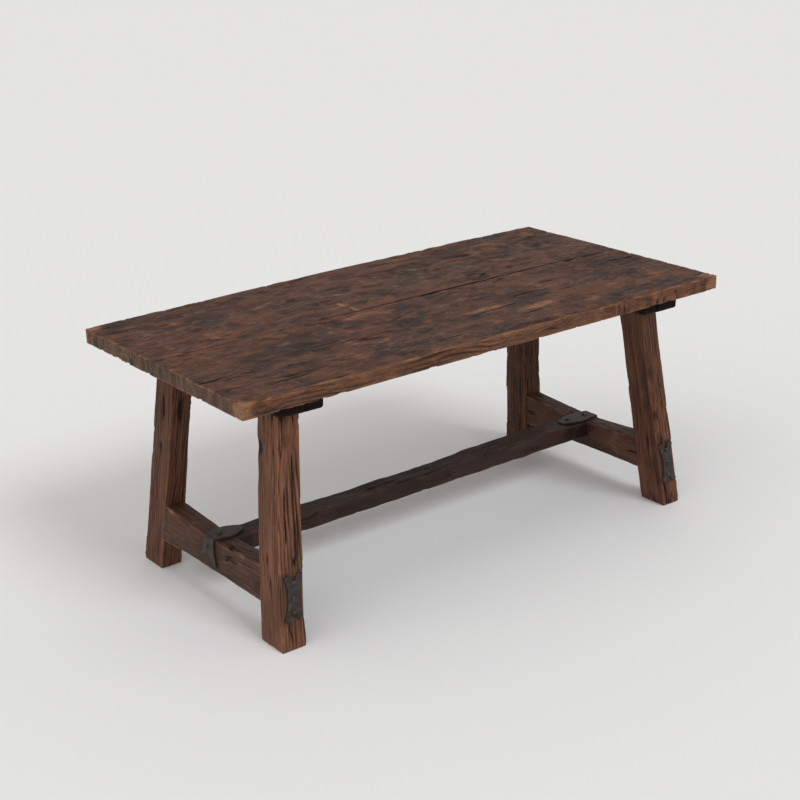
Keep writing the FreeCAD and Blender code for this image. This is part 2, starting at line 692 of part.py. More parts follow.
# Forged iron
def nail_hole(x, y):
    """A square hole round a nail's shank."""
    return box_corners(x, y, "(nail_shank + 2 * nail_fit)", "(nail_shank + 2 * nail_fit)")


def pin_nail_place(side):
    """The nail that goes down through the strap, the end stretcher and the long one's tenon."""
    return f"{side} * ({BEAM_TENON_END} - pin_nail_inset)", "strap_shift"


def leaf_nail_place():
    """The nail at the leaf end of the right strap."""
    return f"{BEND_PLACE} - strap_reach_right + leaf_nail_place", "strap_shift"


def tail_frame(side):
    """The outer face of an end stretcher at the nail of the fish tail, facing outwards."""
    height = "(beam_top - tail_nail_drop)"
    angle = f"{side} * (90 deg - atan({END_SLOPE}))"
    return f"{side} * {outer_face(height)}", "tail_nail_shift", height, Vector(0, 1, 0), angle


def plate_frame(side, row):
    """The outer face of a leg over its stretcher joint, facing outwards."""
    x = leg_centre(side, row, "joint_height")[0]
    y = f"{row} * {leg_face('+', 'joint_height')}"
    angle = f"-{row} * (90 deg - atan({FACE_SLOPE}))"
    return x, y, "joint_height", Vector(1, 0, 0), angle


def plate_point(side, row, across, up):
    """A place on a plate's face, in a frame whose second axis points up in front, down behind."""
    return f"{across} + {side} * {row} * {LEAN} * ({up})", up


def make_leg_plate(side, row):
    """A butterfly plate: two notched pairs of horns, drawn in to a waist."""
    body = make_body(f"leg_plate_{NAMES[side, row]}")
    set_frame(body, "Placement", plate_frame(side, row))
    quarter = [
        ("plate_waist / 2", "0"),
        ("plate_width / 2", f"plate_height / 2 - horn_width * {HORN_SLOPE_SHARE}"),
        ("plate_width / 2 - horn_width", "plate_height / 2"),
        ("0", "plate_height / 2 - plate_notch"),
    ]
    corners = []
    for across, up in ((1, 1), (-1, 1), (-1, -1), (1, -1)):
        points = [(f"{across} * ({x})", f"{up} * ({y})") for x, y in quarter]
        if across != up:
            points = points[::-1]
        corners += points[:-1]
    places = [plate_point(side, row, x, y) for x, y in corners]
    flare = f"(plate_waist / 2 + (plate_width - plate_waist) / 2 * {PLATE_FLARE_SHARE})"
    flare_height = f"plate_height * {PLATE_FLARE_PLACE_SHARE}"
    arcs = {}
    for index, (across, up) in ((0, (1, 1)), (5, (-1, 1)), (6, (-1, -1)), (11, (1, -1))):
        arcs[index] = plate_point(side, row, f"{across} * {flare}", f"{up} * {flare_height}")
    sketch = make_sketch(body, "XY_Plane")
    add_outline(sketch, places, arcs)
    feature(body, "Pad", sketch, "plate_thickness")
    for up in (-1, 0, 1):
        hole = make_sketch(body, "XY_Plane")
        add_outline(hole, nail_hole(*plate_point(side, row, "0", f"{up} * nail_spacing")))
        feature(body, "Pocket", hole, side_type="Symmetric", through=True)


def add_nail(body, x, y, seat, length):
    """Forges a nail: a blunt pyramid over its seat and a shank under it."""
    head = body.newObject("PartDesign::AdditiveWedge", "Head")
    attach(head, body, "XY_Plane")
    set_frame(head, "AttachmentOffset", (x, y, seat, Vector(1, 0, 0), "90 deg"))
    head.setExpression("Ymin", "0 mm")
    head.setExpression("Ymax", formula("nail_head_height"))
    for across in "XZ":
        for end, sign in (("min", "-"), ("max", "")):
            head.setExpression(f"{across}{end}", formula(f"{sign}nail_head / 2"))
            head.setExpression(f"{across}2{end}", formula(f"{sign}nail_crown / 2"))
    shank = make_sketch(body, "XY_Plane", seat)
    add_outline(shank, box_corners(x, y, "nail_shank", "nail_shank"))
    feature(body, "Pad", shank, length, reverse=DOWN)


def make_plate_nails(side, row):
    """The three nails of a butterfly plate."""
    body = make_body(f"plate_nails_{NAMES[side, row]}")
    set_frame(body, "Placement", plate_frame(side, row))
    for up in (-1, 0, 1):
        x, y = plate_point(side, row, "0", f"{up} * nail_spacing")
        add_nail(body, x, y, "plate_thickness", "plate_thickness + plate_nail_length")


def make_strap(side):
    """A forged strap: leaf end, bend over the end stretcher, and fish tail down its outer face."""
    body = make_body(f"strap_{SIDES[side]}")
    reach = f"strap_reach_{SIDES[side]}"
    low = "(beam_top - tail_length)"
    high = "(beam_top + strap_thickness)"
    skin = f"(strap_thickness / cos(atan({END_SLOPE})))"
    bend_out = f"({outer_face(high)} + {skin})"
    below_bend = f"({high} - strap_bend)"
    profile = [
        (f"{BEND_PLACE} - {reach}", "beam_top"),
        (BEND_PLACE, "beam_top"),
        (outer_face(low), low),
        (f"{outer_face(low)} + {skin}", low),
        (f"{outer_face(below_bend)} + {skin}", below_bend),
        (f"{bend_out} - strap_bend", high),
        (f"{BEND_PLACE} - {reach}", high),
    ]
    bend_sag = "strap_bend * (1 - sqrt(1 / 2))"
    on_bend = (f"{bend_out} - {bend_sag}", f"{high} - {bend_sag}")
    sketch = make_sketch(body, "XZ_Plane")
    add_outline(
        sketch,
        [(f"{side} * ({x})", z) for x, z in profile],
        {4: (f"{side} * ({on_bend[0]})", on_bend[1])},
    )
    feature(body, "Pad", sketch, "2 * tail_width", side_type="Symmetric")
    trim_fish_tail(body)
    trim_leaf(body, side, reach)
    pin_hole = make_sketch(body, "XY_Plane", "beam_top")
    add_outline(pin_hole, nail_hole(*pin_nail_place(side)))
    feature(body, "Pocket", pin_hole, "2 * strap_thickness", reverse=True)
    if side == RIGHT_AND_BACK:
        leaf_hole = make_sketch(body, "XY_Plane", "beam_top")
        add_outline(leaf_hole, nail_hole(*leaf_nail_place()))
        feature(body, "Pocket", leaf_hole, "2 * strap_thickness", reverse=True)
    tail_hole = make_sketch(body, "XY_Plane", frame=tail_frame(side))
    add_outline(tail_hole, nail_hole("0", "0"))
    feature(body, "Pocket", tail_hole, "2 * strap_thickness", reverse=True)


def trim_fish_tail(body):
    """Cuts the tail to its outline: a neck at the bend, flaring to two pointed prongs."""
    low = "(beam_top - tail_length)"
    high = "(beam_top + strap_thickness + cut_overrun)"
    neck_front = "strap_shift - strap_neck / 2"
    neck_back = "strap_shift + strap_neck / 2"
    front_tip = "strap_shift - tail_width / 2"
    back_tip = "strap_shift + tail_width / 2"
    flare = f"(tail_width - strap_neck) / 2 * {TAIL_FLARE_SHARE}"
    trim_outside(
        body,
        "YZ_Plane",
        [
            ("-tail_width", "beam_top"),
            (neck_front, "beam_top"),
            (front_tip, low),
            ("strap_shift", f"{low} + tail_notch"),
            (back_tip, f"{low} + tail_step"),
            (neck_back, "beam_top"),
            ("tail_width", "beam_top"),
            ("tail_width", high),
            ("-tail_width", high),
        ],
        {
            1: (f"{neck_front} - {flare}", "beam_top - tail_length / 2"),
            4: (f"{neck_back} + {flare}", "beam_top - (tail_length - tail_step) / 2"),
        },
    )


def trim_leaf(body, side, reach):
    """Cuts the strap's flat part to a leaf that narrows to the neck at its bend."""
    tip = f"({BEND_PLACE} - {reach})"
    past_bend = f"({BEND_PLACE} + 2 * strap_thickness)"
    widest = f"({tip} + {reach} * {LEAF_WIDEST_SHARE})"
    outline = [
        (tip, "strap_shift - strap_tip / 2"),
        (widest, "strap_shift - strap_width / 2"),
        (BEND_PLACE, "strap_shift - strap_neck / 2"),
        (past_bend, "strap_shift - strap_neck / 2"),
        (past_bend, "strap_shift + strap_neck / 2"),
        (BEND_PLACE, "strap_shift + strap_neck / 2"),
        (widest, "strap_shift + strap_width / 2"),
        (tip, "strap_shift + strap_tip / 2"),
    ]
    bulge_x = f"({tip} + {reach} * {LEAF_BULGE_PLACE_SHARE})"
    bulge_y = f"(strap_tip / 2 + (strap_width - strap_tip) / 2 * {LEAF_BULGE_SHARE})"
    arcs = {
        0: (f"{side} * {bulge_x}", f"strap_shift - {bulge_y}"),
        6: (f"{side} * {bulge_x}", f"strap_shift + {bulge_y}"),
    }
    sketch = make_sketch(body, "XY_Plane", "beam_top + strap_thickness + cut_overrun")
    add_outline(sketch, [(f"{side} * {x}", y) for x, y in outline], arcs)
    add_outline(sketch, box_corners("0", "0", "2 * top_length", "2 * top_length"))
    feature(body, "Pocket", sketch, "strap_thickness + cut_overrun")


def make_top_nails(side):
    """The nails that go straight down through a strap: in the tenon and, on the right, the leaf."""
    body = make_body(f"strap_nails_{SIDES[side]}")
    seat = "beam_top + strap_thickness"
    add_nail(body, *pin_nail_place(side), seat, "pin_nail_length")
    if side == RIGHT_AND_BACK:
        add_nail(body, *leaf_nail_place(), seat, "leaf_nail_length")


def make_tail_nail(side):
    """The nail of the fish tail, square to the outer face of the end stretcher."""
    body = make_body(f"tail_nail_{SIDES[side]}")
    set_frame(body, "Placement", tail_frame(side))
    add_nail(body, "0", "0", "strap_thickness", f"strap_thickness + {TAIL_NAIL_LENGTH}")


# Whole table
def make_table():
    """Makes every piece of the table."""
    make_sheet()
    make_plank("plank_front", LEFT_AND_FRONT)
    make_plank("plank_back", RIGHT_AND_BACK)
    make_pegs()
    make_long_stretcher()
    for side in SIDES:
        make_batten(side)
        make_screws(side)
        make_wedges(side)
        make_end_stretcher(side)
        make_strap(side)
        make_top_nails(side)
        make_tail_nail(side)
        for row in SIDES:
            make_leg(side, row)
            make_leg_plate(side, row)
            make_plate_nails(side, row)
    document.recompute()


def check_table():
    """Stops if a feature failed, a cut took nothing away or a piece is not a valid solid."""
    for item in document.Objects:
        if "Invalid" in item.State or "Error" in item.State:
            raise RuntimeError(f"{item.Label} failed: {item.State}")
        cuts = item.TypeId in ("PartDesign::Pocket", "PartDesign::SubtractiveLoft")
        if cuts and not item.Shape.Volume < item.BaseFeature.Shape.Volume:
            raise RuntimeError(f"{item.Label} in {item.getParent().Label} took nothing away")
    for node in nodes:
        if node.Shape.isNull() or not node.Shape.isValid() or not node.Shape.Solids:
            raise RuntimeError(f"{node.Label} is not a valid solid")


def write_table():
    """Writes one file for each node."""
    os.makedirs("parts", exist_ok=True)
    for node in nodes:
        node.Shape.exportStep(f"parts/{node.Label}.step")
        print(node.Label, len(node.Shape.Solids), round(node.Shape.Volume))


make_table()
check_table()
write_table()
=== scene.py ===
"""Dresses a rustic low trestle table of hewn wood and forged iron, and lights it softly.

Lengths are in metres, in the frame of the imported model: X along the table, Y from front to back
and Z up, with the floor at zero. Each wooden piece is a closed mesh on a box-shaped lattice that
follows the sections of its solid, and every adze mark, groove and crack is cut into that mesh.
"""

import logging
import math
from dataclasses import dataclass, field, replace
from enum import Enum

import bpy
import numpy as np
from mathutils import Matrix, Vector


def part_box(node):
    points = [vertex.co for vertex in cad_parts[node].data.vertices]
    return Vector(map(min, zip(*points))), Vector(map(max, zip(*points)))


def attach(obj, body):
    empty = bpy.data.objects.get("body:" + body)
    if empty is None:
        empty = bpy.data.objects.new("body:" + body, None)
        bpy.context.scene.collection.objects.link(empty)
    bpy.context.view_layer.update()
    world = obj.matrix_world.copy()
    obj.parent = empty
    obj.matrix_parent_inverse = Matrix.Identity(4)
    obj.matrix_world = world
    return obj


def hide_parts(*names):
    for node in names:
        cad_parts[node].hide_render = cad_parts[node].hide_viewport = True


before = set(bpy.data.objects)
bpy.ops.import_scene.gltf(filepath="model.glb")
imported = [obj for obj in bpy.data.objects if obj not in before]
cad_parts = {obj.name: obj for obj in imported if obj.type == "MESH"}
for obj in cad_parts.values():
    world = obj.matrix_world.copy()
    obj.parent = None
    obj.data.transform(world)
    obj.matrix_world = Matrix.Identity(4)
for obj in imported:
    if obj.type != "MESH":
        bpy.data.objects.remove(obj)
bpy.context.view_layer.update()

Array = np.ndarray
Pair = tuple[float, float]
Triple = tuple[float, float, float]
Colour = Triple
Corners = tuple[Pair, Pair]
log = logging.getLogger("table")

# How far inside the ends of a solid its first and last sections are taken.
FOOT_SKIP = 0.0035
CORNER_SKIP = 0.004
SKIN = 0.001
# How far a piece reaches into the one that it is joined to.
EMBED = 0.003
# How far the wood stays flat round a seated piece, and how far rust and painted shade darken it.
SEAT_REACH = 0.006
RUST_AND_SHADE_REACH = (0.001, 0.007)
# How far from the seam the wood is darkened with painted shade, and over which distances wear and
# chips begin.
SEAM_SHADE = 0.0026
SEAM_WEAR = (0.004, 0.02)
SEAM_CHIPS = (0.003, 0.010)
# Over which lengths the seam's painted shade deepens where the seam opens at its left end, and
# fades where it closes at its right end.
GAP_EASE = (0.02, 0.10)
# Over which lengths a split opens at its start and closes at its end.
SPLIT_EASE = (0.02, 0.03)
# How round a knot is, and how strongly it bends the grain, along, across and up.
KNOT_SHAPE = (0.7, 1.0, 1.0)
KNOT_SWIRL = (0.0, 0.9, 0.9)
# The reach of a stain below which its outline gets smoother.
FINE_STAIN = 0.02
# How wide the wear of an edge is.
EDGE_WIDTH = 0.0048
# The shifts that give opposite faces, and pieces, patterns of their own.
SIDE_SHIFT = 20.0
SEED_SHIFT = 3.0
# The sizes of the random patterns on wood, along the grain, across and up.
ROUNDING_SIZE = (0.03, 0.05, 0.05)
SWAY_SIZE = (0.17, 0.30, 0.30)
FADE_SIZE = (0.09, 0.014, 0.014)
CHIP_SIZE = (0.022, 0.012, 0.012)
SPLIT_SIZE = (0.035, 0.4, 0.4)
STAIN_SIZE = (0.04, 0.018, 0.02)
# The sizes of those in the plane of a face, the longer way of its marks first.
CRACKED_SIZE = (0.10, 0.02)
BEND_SIZE = (0.07, 0.04)
STROKE_SIZE = (0.11, 0.06)
WANDER_WIDTH = 0.06
# Keeps divisions away from zero.
TINY = 1e-9


class Grain(Enum):
    """The way a piece's grain runs: the table's axis for across, its sign, and the axis for up."""

    LENGTHWISE = (1, 1, 2)
    CROSSWISE = (0, -1, 2)
    UPRIGHT = (0, 1, 1)


class Side(Enum):
    """A side of the table, with its sign along an axis."""

    @property
    def word(self) -> str:
        """The word for this side in the names of pieces."""
        return self.name.lower()


class End(Side):
    """An end of the table, along X."""

    LEFT = -1
    RIGHT = 1


class Row(Side):
    """The front or the back of the table, along Y."""

    FRONT = -1
    BACK = 1


class Noise:
    """Smooth random values over space, the same on every run."""

    SIDE = 64
    SHIFT = 17.3
    SCATTER = 0.4

    def __init__(self, seed: int) -> None:
        """Fills the table of random numbers."""
        self.table = np.random.default_rng(seed).uniform(-1.0, 1.0, (self.SIDE,) * 3)

    def smooth(self, places: Array) -> Array:
        """Random values that change smoothly from cell to cell.

        Args:
            places: points, one row each, measured in cells.

        Returns:
            One value between -1 and 1 for each point.
        """
        cell = np.floor(places).astype(np.int64)
        part = ease(places - cell, 0.0, 1.0)
        total = np.zeros(len(places))
        for corner in np.ndindex(2, 2, 2):
            weight = np.prod(np.where(corner, part, 1.0 - part), axis=1)
            index = (cell + corner) % self.SIDE
            total += weight * self.table[index[:, 0], index[:, 1], index[:, 2]]
        return total

    def layered(self, places: Array, layers: int = 3) -> Array:
        """Smooth values with finer and weaker ones added on top.

        Args:
            places: points, one row each, measured in cells of the coarsest layer.
            layers: how many layers to add up.

        Returns:
            One value, mostly between -1 and 1, for each point.
        """
        total = np.zeros(len(places))
        for layer in range(layers):
            total += 0.5**layer * self.smooth(places * 2.0**layer + self.SHIFT * layer)
        return total

    def bowls(self, places: Array) -> Array:
        """Distance from each point to the nearest of many scattered middles.

        Args:
            places: points in a plane, one row of two numbers each, measured in cells.

        Returns:
            The distance in cells, 0 at a middle and about 0.7 where bowls meet.
        """
        cell = np.floor(places).astype(np.int64)
        nearest = np.full(len(places), np.inf)
        for step in np.ndindex(3, 3):
            neighbour = cell + step - 1
            index = neighbour % self.SIDE
            middle = neighbour + 0.5 + self.SCATTER * self.table[index[:, 0], index[:, 1], :2]
            nearest = np.minimum(nearest, np.sum((places - middle) ** 2, axis=1))
        return np.sqrt(nearest)


def ease(values: Array | float, low: float, high: float) -> Array:
    """Rises smoothly from 0 at low to 1 at high, or falls where low is the larger."""
    part = np.clip((values - low) / (high - low), 0.0, 1.0)
    return part * part * (3.0 - 2.0 * part)


class Solid:
    """The solid of one node of the frame: its box, and its section at any place."""

    def __init__(self, node: str) -> None:
        """Reads the points and edges of the node."""
        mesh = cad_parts[node].data
        self.points = read_vectors(mesh, "co")
        edges = np.empty(len(mesh.edges) * 2, np.int64)
        mesh.edges.foreach_get("vertices", edges)
        self.edges = edges.reshape(-1, 2)
        self.low, self.high = self.points.min(0), self.points.max(0)

    def section(self, axis: int, place: float) -> tuple[Array, Array]:
        """The box of the section at one place.

        Args:
            axis: 0, 1 or 2 for a section square to X, Y or Z.
            place: where the section is along that axis.

        Returns:
            The lowest and the highest corner of the section.
        """
        ends = self.points[self.edges]
        gaps = ends[:, :, axis] - place
        crossing = gaps[:, 0] * gaps[:, 1] < 0
        start = ends[crossing, 0]
        part = gaps[crossing, 0] / (gaps[crossing, 0] - gaps[crossing, 1])
        cut = start + (ends[crossing, 1] - start) * part[:, None]
        return cut.min(0), cut.max(0)


def lattice_lines(half: float, cell: float, rounding: float) -> Array:
    """Places of the lattice's lines along one axis.

    Args:
        half: half of the piece's size along the axis.
        cell: the usual distance between lines.
        rounding: the width of the rounded ends, which get closer lines.

    Returns:
        The places, from -half to half.
    """
    inner = half - rounding
    count = max(2, round(2 * inner / cell))
    steps = max(2, math.ceil(1.3 * rounding / cell))
    corner = inner + rounding * np.arange(1, steps + 1) / steps
    return np.concatenate([-corner[::-1], np.linspace(-inner, inner, count + 1), corner])


def lattice_shell(lines: list[Array]) -> tuple[Array, Array]:
    """The surface of a box-shaped lattice.

    Args:
        lines: the places of the lattice's lines along each of its three axes.

    Returns:
        The surface's points, and the numbers of the four points of each face.
    """
    outer = np.ones([len(line) for line in lines], bool)
    outer[1:-1, 1:-1, 1:-1] = False
    number = np.cumsum(outer).reshape(outer.shape) - 1
    index = np.nonzero(outer)
    points = np.stack([line[i] for line, i in zip(lines, index)], axis=1)
    faces = []
    for axis in range(3):
        for end in (0, -1):
            sheet = np.take(number, end, axis)
            quads = [sheet[:-1, :-1], sheet[1:, :-1], sheet[1:, 1:], sheet[:-1, 1:]]
            if (end == 0) != (axis == 1):
                quads.reverse()
            faces.append(np.stack(quads, axis=-1).reshape(-1, 4))
    return points, np.concatenate(faces)


def make_mesh_object(name: str, points: Array, faces: Array) -> bpy.types.Object:
    """A smooth-shaded mesh object at the origin.

    Args:
        name: the name of the object and its mesh.
        points: the points, one row each.
        faces: the numbers of each face's points.

    Returns:
        The object, linked to the scene.
    """
    mesh = bpy.data.meshes.new(name)
    mesh.from_pydata(points.tolist(), [], faces.tolist())
    mesh.shade_smooth()
    mesh.update()
    piece = bpy.data.objects.new(name, mesh)
    bpy.context.scene.collection.objects.link(piece)
    return piece


def read_vectors(mesh: bpy.types.Mesh, what: str) -> Array:
    """The points ("co") or normals ("normal") of a mesh's vertices, one row each."""
    values = np.empty(len(mesh.vertices) * 3)
    mesh.vertices.foreach_get(what, values)
    return values.reshape(-1, 3)


def add_attribute(mesh: bpy.types.Mesh, name: str, values: Array) -> None:
    """Writes a number or a vector for each vertex, which the finishes read."""
    kind, part = ("FLOAT", "value") if values.ndim == 1 else ("FLOAT_VECTOR", "vector")
    attribute = mesh.attributes.new(name, kind, "POINT")
    attribute.data.foreach_set(part, values.astype(np.float32).ravel())


@dataclass(frozen=True)
class Hewing:
    """The tool marks and weather marks on one pair of faces.

    scoop is the length and width of an adze mark, slant is the angle in degrees from the grain
    to the strokes, and the depths are the deepest of each kind. groove is the depth of the lines
    where the growth rings come out, and line is how dark they are. sink is the depth that lies
    on the solid's own face, as a share of the mean depth, and proud is how far the high places
    may stand outside it.
    """

    scoop: Pair = (0.06, 0.03)
    scoop_depth: float = 0.001
    slant: float = 0.0
    wander: float = 0.001
    wander_length: float = 0.12
    ripple: float = 0.0003
    ripple_size: Pair = (0.05, 0.006)
    crack: float = 0.0015
    crack_share: float = 0.35
    crack_size: Pair = (0.09, 0.007)
    groove: float = 0.0004
    line: float = 1.0
    chip: float = 0.0015
    sink: float = 1.2
    proud: float = 0.0


@dataclass
class Marks:
    """What the tools left at each point: how deep, and what the finish shows there, such as the
    hollows that it darkens with dirt and painted shade.
    """

    depth: Array
    crack: Array
    ridge: Array
    hollow: Array
    line: Array

    def add(self, other: "Marks", share: Array, kept: Array | float = 1.0) -> None:
        """Keeps a share of these marks and adds a share of others, point by point."""
        for name, values in vars(self).items():
            setattr(self, name, kept * values + share * getattr(other, name))


@dataclass(frozen=True)
class Knot:
    """A knot, placed in the piece's own axes: along the grain, across and up."""

    place: Triple
    radius: float
    dent: float = 0.0008
    darkness: float = 1.0


@dataclass(frozen=True)
class Split:
    """A long open crack on one face of a piece.

    side holds the axis that the face is square to (1 across, 2 up) and its sign. reach holds
    where the crack starts and ends along the grain, and place where it lies on the face.
    """

    side: tuple[int, int]
    reach: Pair
    place: float
    width: float
    depth: float


@dataclass(frozen=True)
class Flow:
    """A stretch along the grain over which the rings climb across the piece."""

    reach: Pair
    climb: Pair


@dataclass(frozen=True)
class Stain:
    """A coloured patch of the top, placed on the table and measured along and across it."""

    place: Pair
    reach: Pair
    dark: float = 0.0
    red: float = 0.0
    worn: float = 0.0


@dataclass
class Timber:
    """A piece of hewn wood on a box-shaped lattice whose first axis follows the grain.

    sections holds, for each station along the grain, the four corners of the section:
    [station, across, up, coordinate], and half the half sizes along, across and up. hewing
    holds the marks of the ends, of the faces square to across and of those square to up.
    roundings holds the radius of the long edges: [across][up], and plan_corner that of the
    upright corners on the side away from the seam. chopped holds the marks that take over on
    the faces square to across, between the two places of chop_reach along the grain. crisp is
    the distance over which the marks fade to crisp_share towards the ends, measured along
    crisp_axes. underside is the share of the marks on the lower face. seam is the sign of the
    side that shows no wear and is darkened along the seam with painted shade, and gap is where
    the seam stands open and its painted shade is darkest.
    """

    node: str
    sections: Array | list[Array]
    seed: int
    hewing: tuple[Hewing, Hewing, Hewing]
    roundings: Corners
    half: Array = field(init=False)
    noise: Noise = field(init=False)
    cell: Triple = (0.0032, 0.0017, 0.0017)
    rounding_wander: float = 0.35
    plan_corner: float = 0.0
    chopped: Hewing = Hewing()
    chop_reach: Pair | None = None
    crisp: float = 0.0
    crisp_share: float = 0.2
    crisp_axes: tuple[int, ...] = (0,)
    underside: float = 1.0
    seam: int = 0
    gap: Pair = (0.0, 0.0)
    seats: tuple[str, ...] = ()
    rusty_seats: tuple[str, ...] = ()
    knots: tuple[Knot, ...] = ()
    splits: tuple[Split, ...] = ()
    flows: tuple[Flow, ...] = ()
    stains: tuple[Stain, ...] = ()
    pith: Pair = (0.02, -0.05)
    ring_pitch: float = 0.0036
    ring_sway: float = 0.006

    def __post_init__(self) -> None:
        """Works out the half sizes and fills the noise."""
        self.noise = Noise(self.seed)
        self.sections = np.array(self.sections)
        self.half = half_sizes(self.sections)

    def build(self) -> bpy.types.Object:
        """Makes the mesh with all its marks, and what the finish reads from it."""
        widest = float(np.max(self.roundings))
        lattice, faces = lattice_shell(
            [lattice_lines(half, cell, widest) for half, cell in zip(self.half, self.cell)]
        )
        straight, outward = self.round_edges(lattice)
        piece = make_mesh_object(f"hewn_{self.node}", self.bend(straight), faces)
        mesh = piece.data
        points = read_vectors(mesh, "co")
        normals = read_vectors(mesh, "normal")
        swirl, knot = self.knot_shapes(straight)
        end = np.abs(outward[:, 0]) ** 2
        ring = self.ring_lines(straight + swirl) * (1 - end)
        marks = self.carve(straight, outward, ring)
        edge = self.edge_nearness(lattice)
        if self.seam:
            inwards = self.half[1] - self.seam * lattice[:, 1]
            edge *= ease(inwards, *SEAM_WEAR)
            open_part = ease(points[:, 0], self.gap[0] - GAP_EASE[0], self.gap[0] + GAP_EASE[0])
            open_part *= ease(points[:, 0], self.gap[1] + GAP_EASE[1], self.gap[1])
            # Painted shade along the seam, darkest where it stands open, carried in the crack
            # darkness.
            shade = ease(inwards, SEAM_SHADE, 0.4 * SEAM_SHADE) * (0.35 + 0.65 * open_part)
            marks.crack = np.maximum(marks.crack, shade)
        if self.crisp:
            gaps = (self.half - np.abs(lattice))[:, self.crisp_axes]
            fade = ease(np.linalg.norm(gaps, axis=1), 0.0, self.crisp)
            marks.depth *= self.crisp_share + (1 - self.crisp_share) * fade
        self.open_splits(straight, outward, marks)
        marks.depth += knot * max((item.dent for item in self.knots), default=0.0)
        marks.depth *= self.seat_mask(points, self.seats + self.rusty_seats, 0.0, SEAT_REACH)
        points -= normals * marks.depth[:, None]
        mesh.vertices.foreach_set("co", points.ravel())
        mesh.update()

        shown = {
            "grain": straight + swirl + [SEED_SHIFT * self.seed, *self.pith],
            "crack": np.clip(marks.crack, 0, 1),
            "wear": np.clip(edge * (0.55 + 0.45 * marks.ridge), 0, 1),
            "ridge": marks.ridge,
            "hollow": marks.hollow,
            "ring": marks.line,
            "knot": knot,
            "end": end,
        }
        shown |= self.stain_marks(points)
        # A dark halo round seated iron, partly rust stain and partly painted shade.
        rust = 1 - self.seat_mask(points, self.rusty_seats, *RUST_AND_SHADE_REACH)
        shown["dark"] = np.maximum(shown["dark"], rust)
        for name, values in shown.items():
            add_attribute(mesh, name, values)
        return piece

    def round_edges(self, lattice: Array) -> tuple[Array, Array]:
        """Rounds the edges of the box.

        Args:
            lattice: points on the box with sharp edges.

        Returns:
            The points on the rounded box, and the direction in which each of them faces.
        """
        share = lattice / self.half
        across = (share[:, 1] + 1) / 2
        up = (share[:, 2] + 1) / 2
        radius = np.zeros(len(lattice))
        for i, row in enumerate(self.roundings):
            for j, corner in enumerate(row):
                weight = (across if i else 1 - across) * (up if j else 1 - up)
                radius += weight * corner
        uneven = self.noise.layered(lattice / ROUNDING_SIZE + 5.0, 2)
        radius *= 1 - self.rounding_wander * (0.5 + 0.5 * np.clip(uneven, -1, 1))
        core = np.clip(lattice, -(self.half - radius[:, None]), self.half - radius[:, None])
        gap = lattice - core
        length = np.linalg.norm(gap, axis=1)
        outward = gap / np.maximum(length, TINY)[:, None]
        straight = core + outward * radius[:, None]
        inner = self.half[:2] - self.plan_corner
        core = np.clip(straight[:, :2], -inner, inner)
        gap = straight[:, :2] - core
        length = np.maximum(np.linalg.norm(gap, axis=1), TINY)
        rounded = core + gap * np.minimum(1, self.plan_corner / length)[:, None]
        outer = self.seam * straight[:, 1] < 0
        straight[outer, :2] = rounded[outer]
        return straight, outward

    def bend(self, straight: Array) -> Array:
        """Carries points from the straight box to the piece's own sections."""
        share = (straight / self.half + 1) / 2
        last = len(self.sections) - 1
        station = np.clip(share[:, 0] * last, 0, last - TINY)
        low = station.astype(int)
        part = (station - low)[:, None, None, None]
        section = self.sections[low] * (1 - part) + self.sections[low + 1] * part
        across = share[:, 1, None, None]
        side = section[:, 0] * (1 - across) + section[:, 1] * across
        up = share[:, 2, None]
        return side[:, 0] * (1 - up) + side[:, 1] * up

    def edge_nearness(self, lattice: Array) -> Array:
        """1 on the edges of the piece, falling to 0 a few millimetres into its faces."""
        gaps = np.sort(self.half - np.abs(lattice), axis=1)
        return ease(gaps[:, 1], EDGE_WIDTH, 0.0)

    def seat_mask(self, points: Array, seats: tuple[str, ...], low: float, high: float) -> Array:
        """Finds the places of the pieces that are seated on this one.

        Args:
            points: the mesh's points.
            seats: the nodes of the seated pieces.
            low: the distance from their boxes where the mask starts to rise.
            high: the distance where it is full.

        Returns:
            0 where a piece is seated, 1 elsewhere.
        """
        mask = np.ones(len(points))
        for seat in seats:
            lowest, highest = (np.array(corner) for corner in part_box(seat))
            outside = np.max(np.maximum(lowest - points, points - highest), axis=1)
            mask = np.minimum(mask, ease(outside, low, high))
        return mask

    def ring_lines(self, straight: Array) -> Array:
        """Lines where the growth rings come out of the faces.

        Args:
            straight: points on the rounded box, bent round the knots.

        Returns:
            1 in the middle of a line and 0 between lines.
        """
        sway = [
            self.noise.layered(straight / SWAY_SIZE + shift, 2) * self.ring_sway
            for shift in (51.0, 57.0)
        ]
        gaps = straight[:, 1:] + self.pith + np.stack(sway, axis=1)
        for flow in self.flows:
            gaps += ease(straight[:, :1], *flow.reach) * np.array(flow.climb)
        turns = np.linalg.norm(gaps, axis=1) / self.ring_pitch
        still = np.zeros_like(turns)
        turns += 0.45 * self.noise.smooth(np.column_stack([turns * 0.8, still, still + 3.5]))
        line = ease(np.abs(turns - np.round(turns)), 0.30, 0.08)
        strength = 0.55 + 0.9 * self.noise.layered(straight / FADE_SIZE + 61.0, 2)
        return line * np.clip(strength, 0, 1)

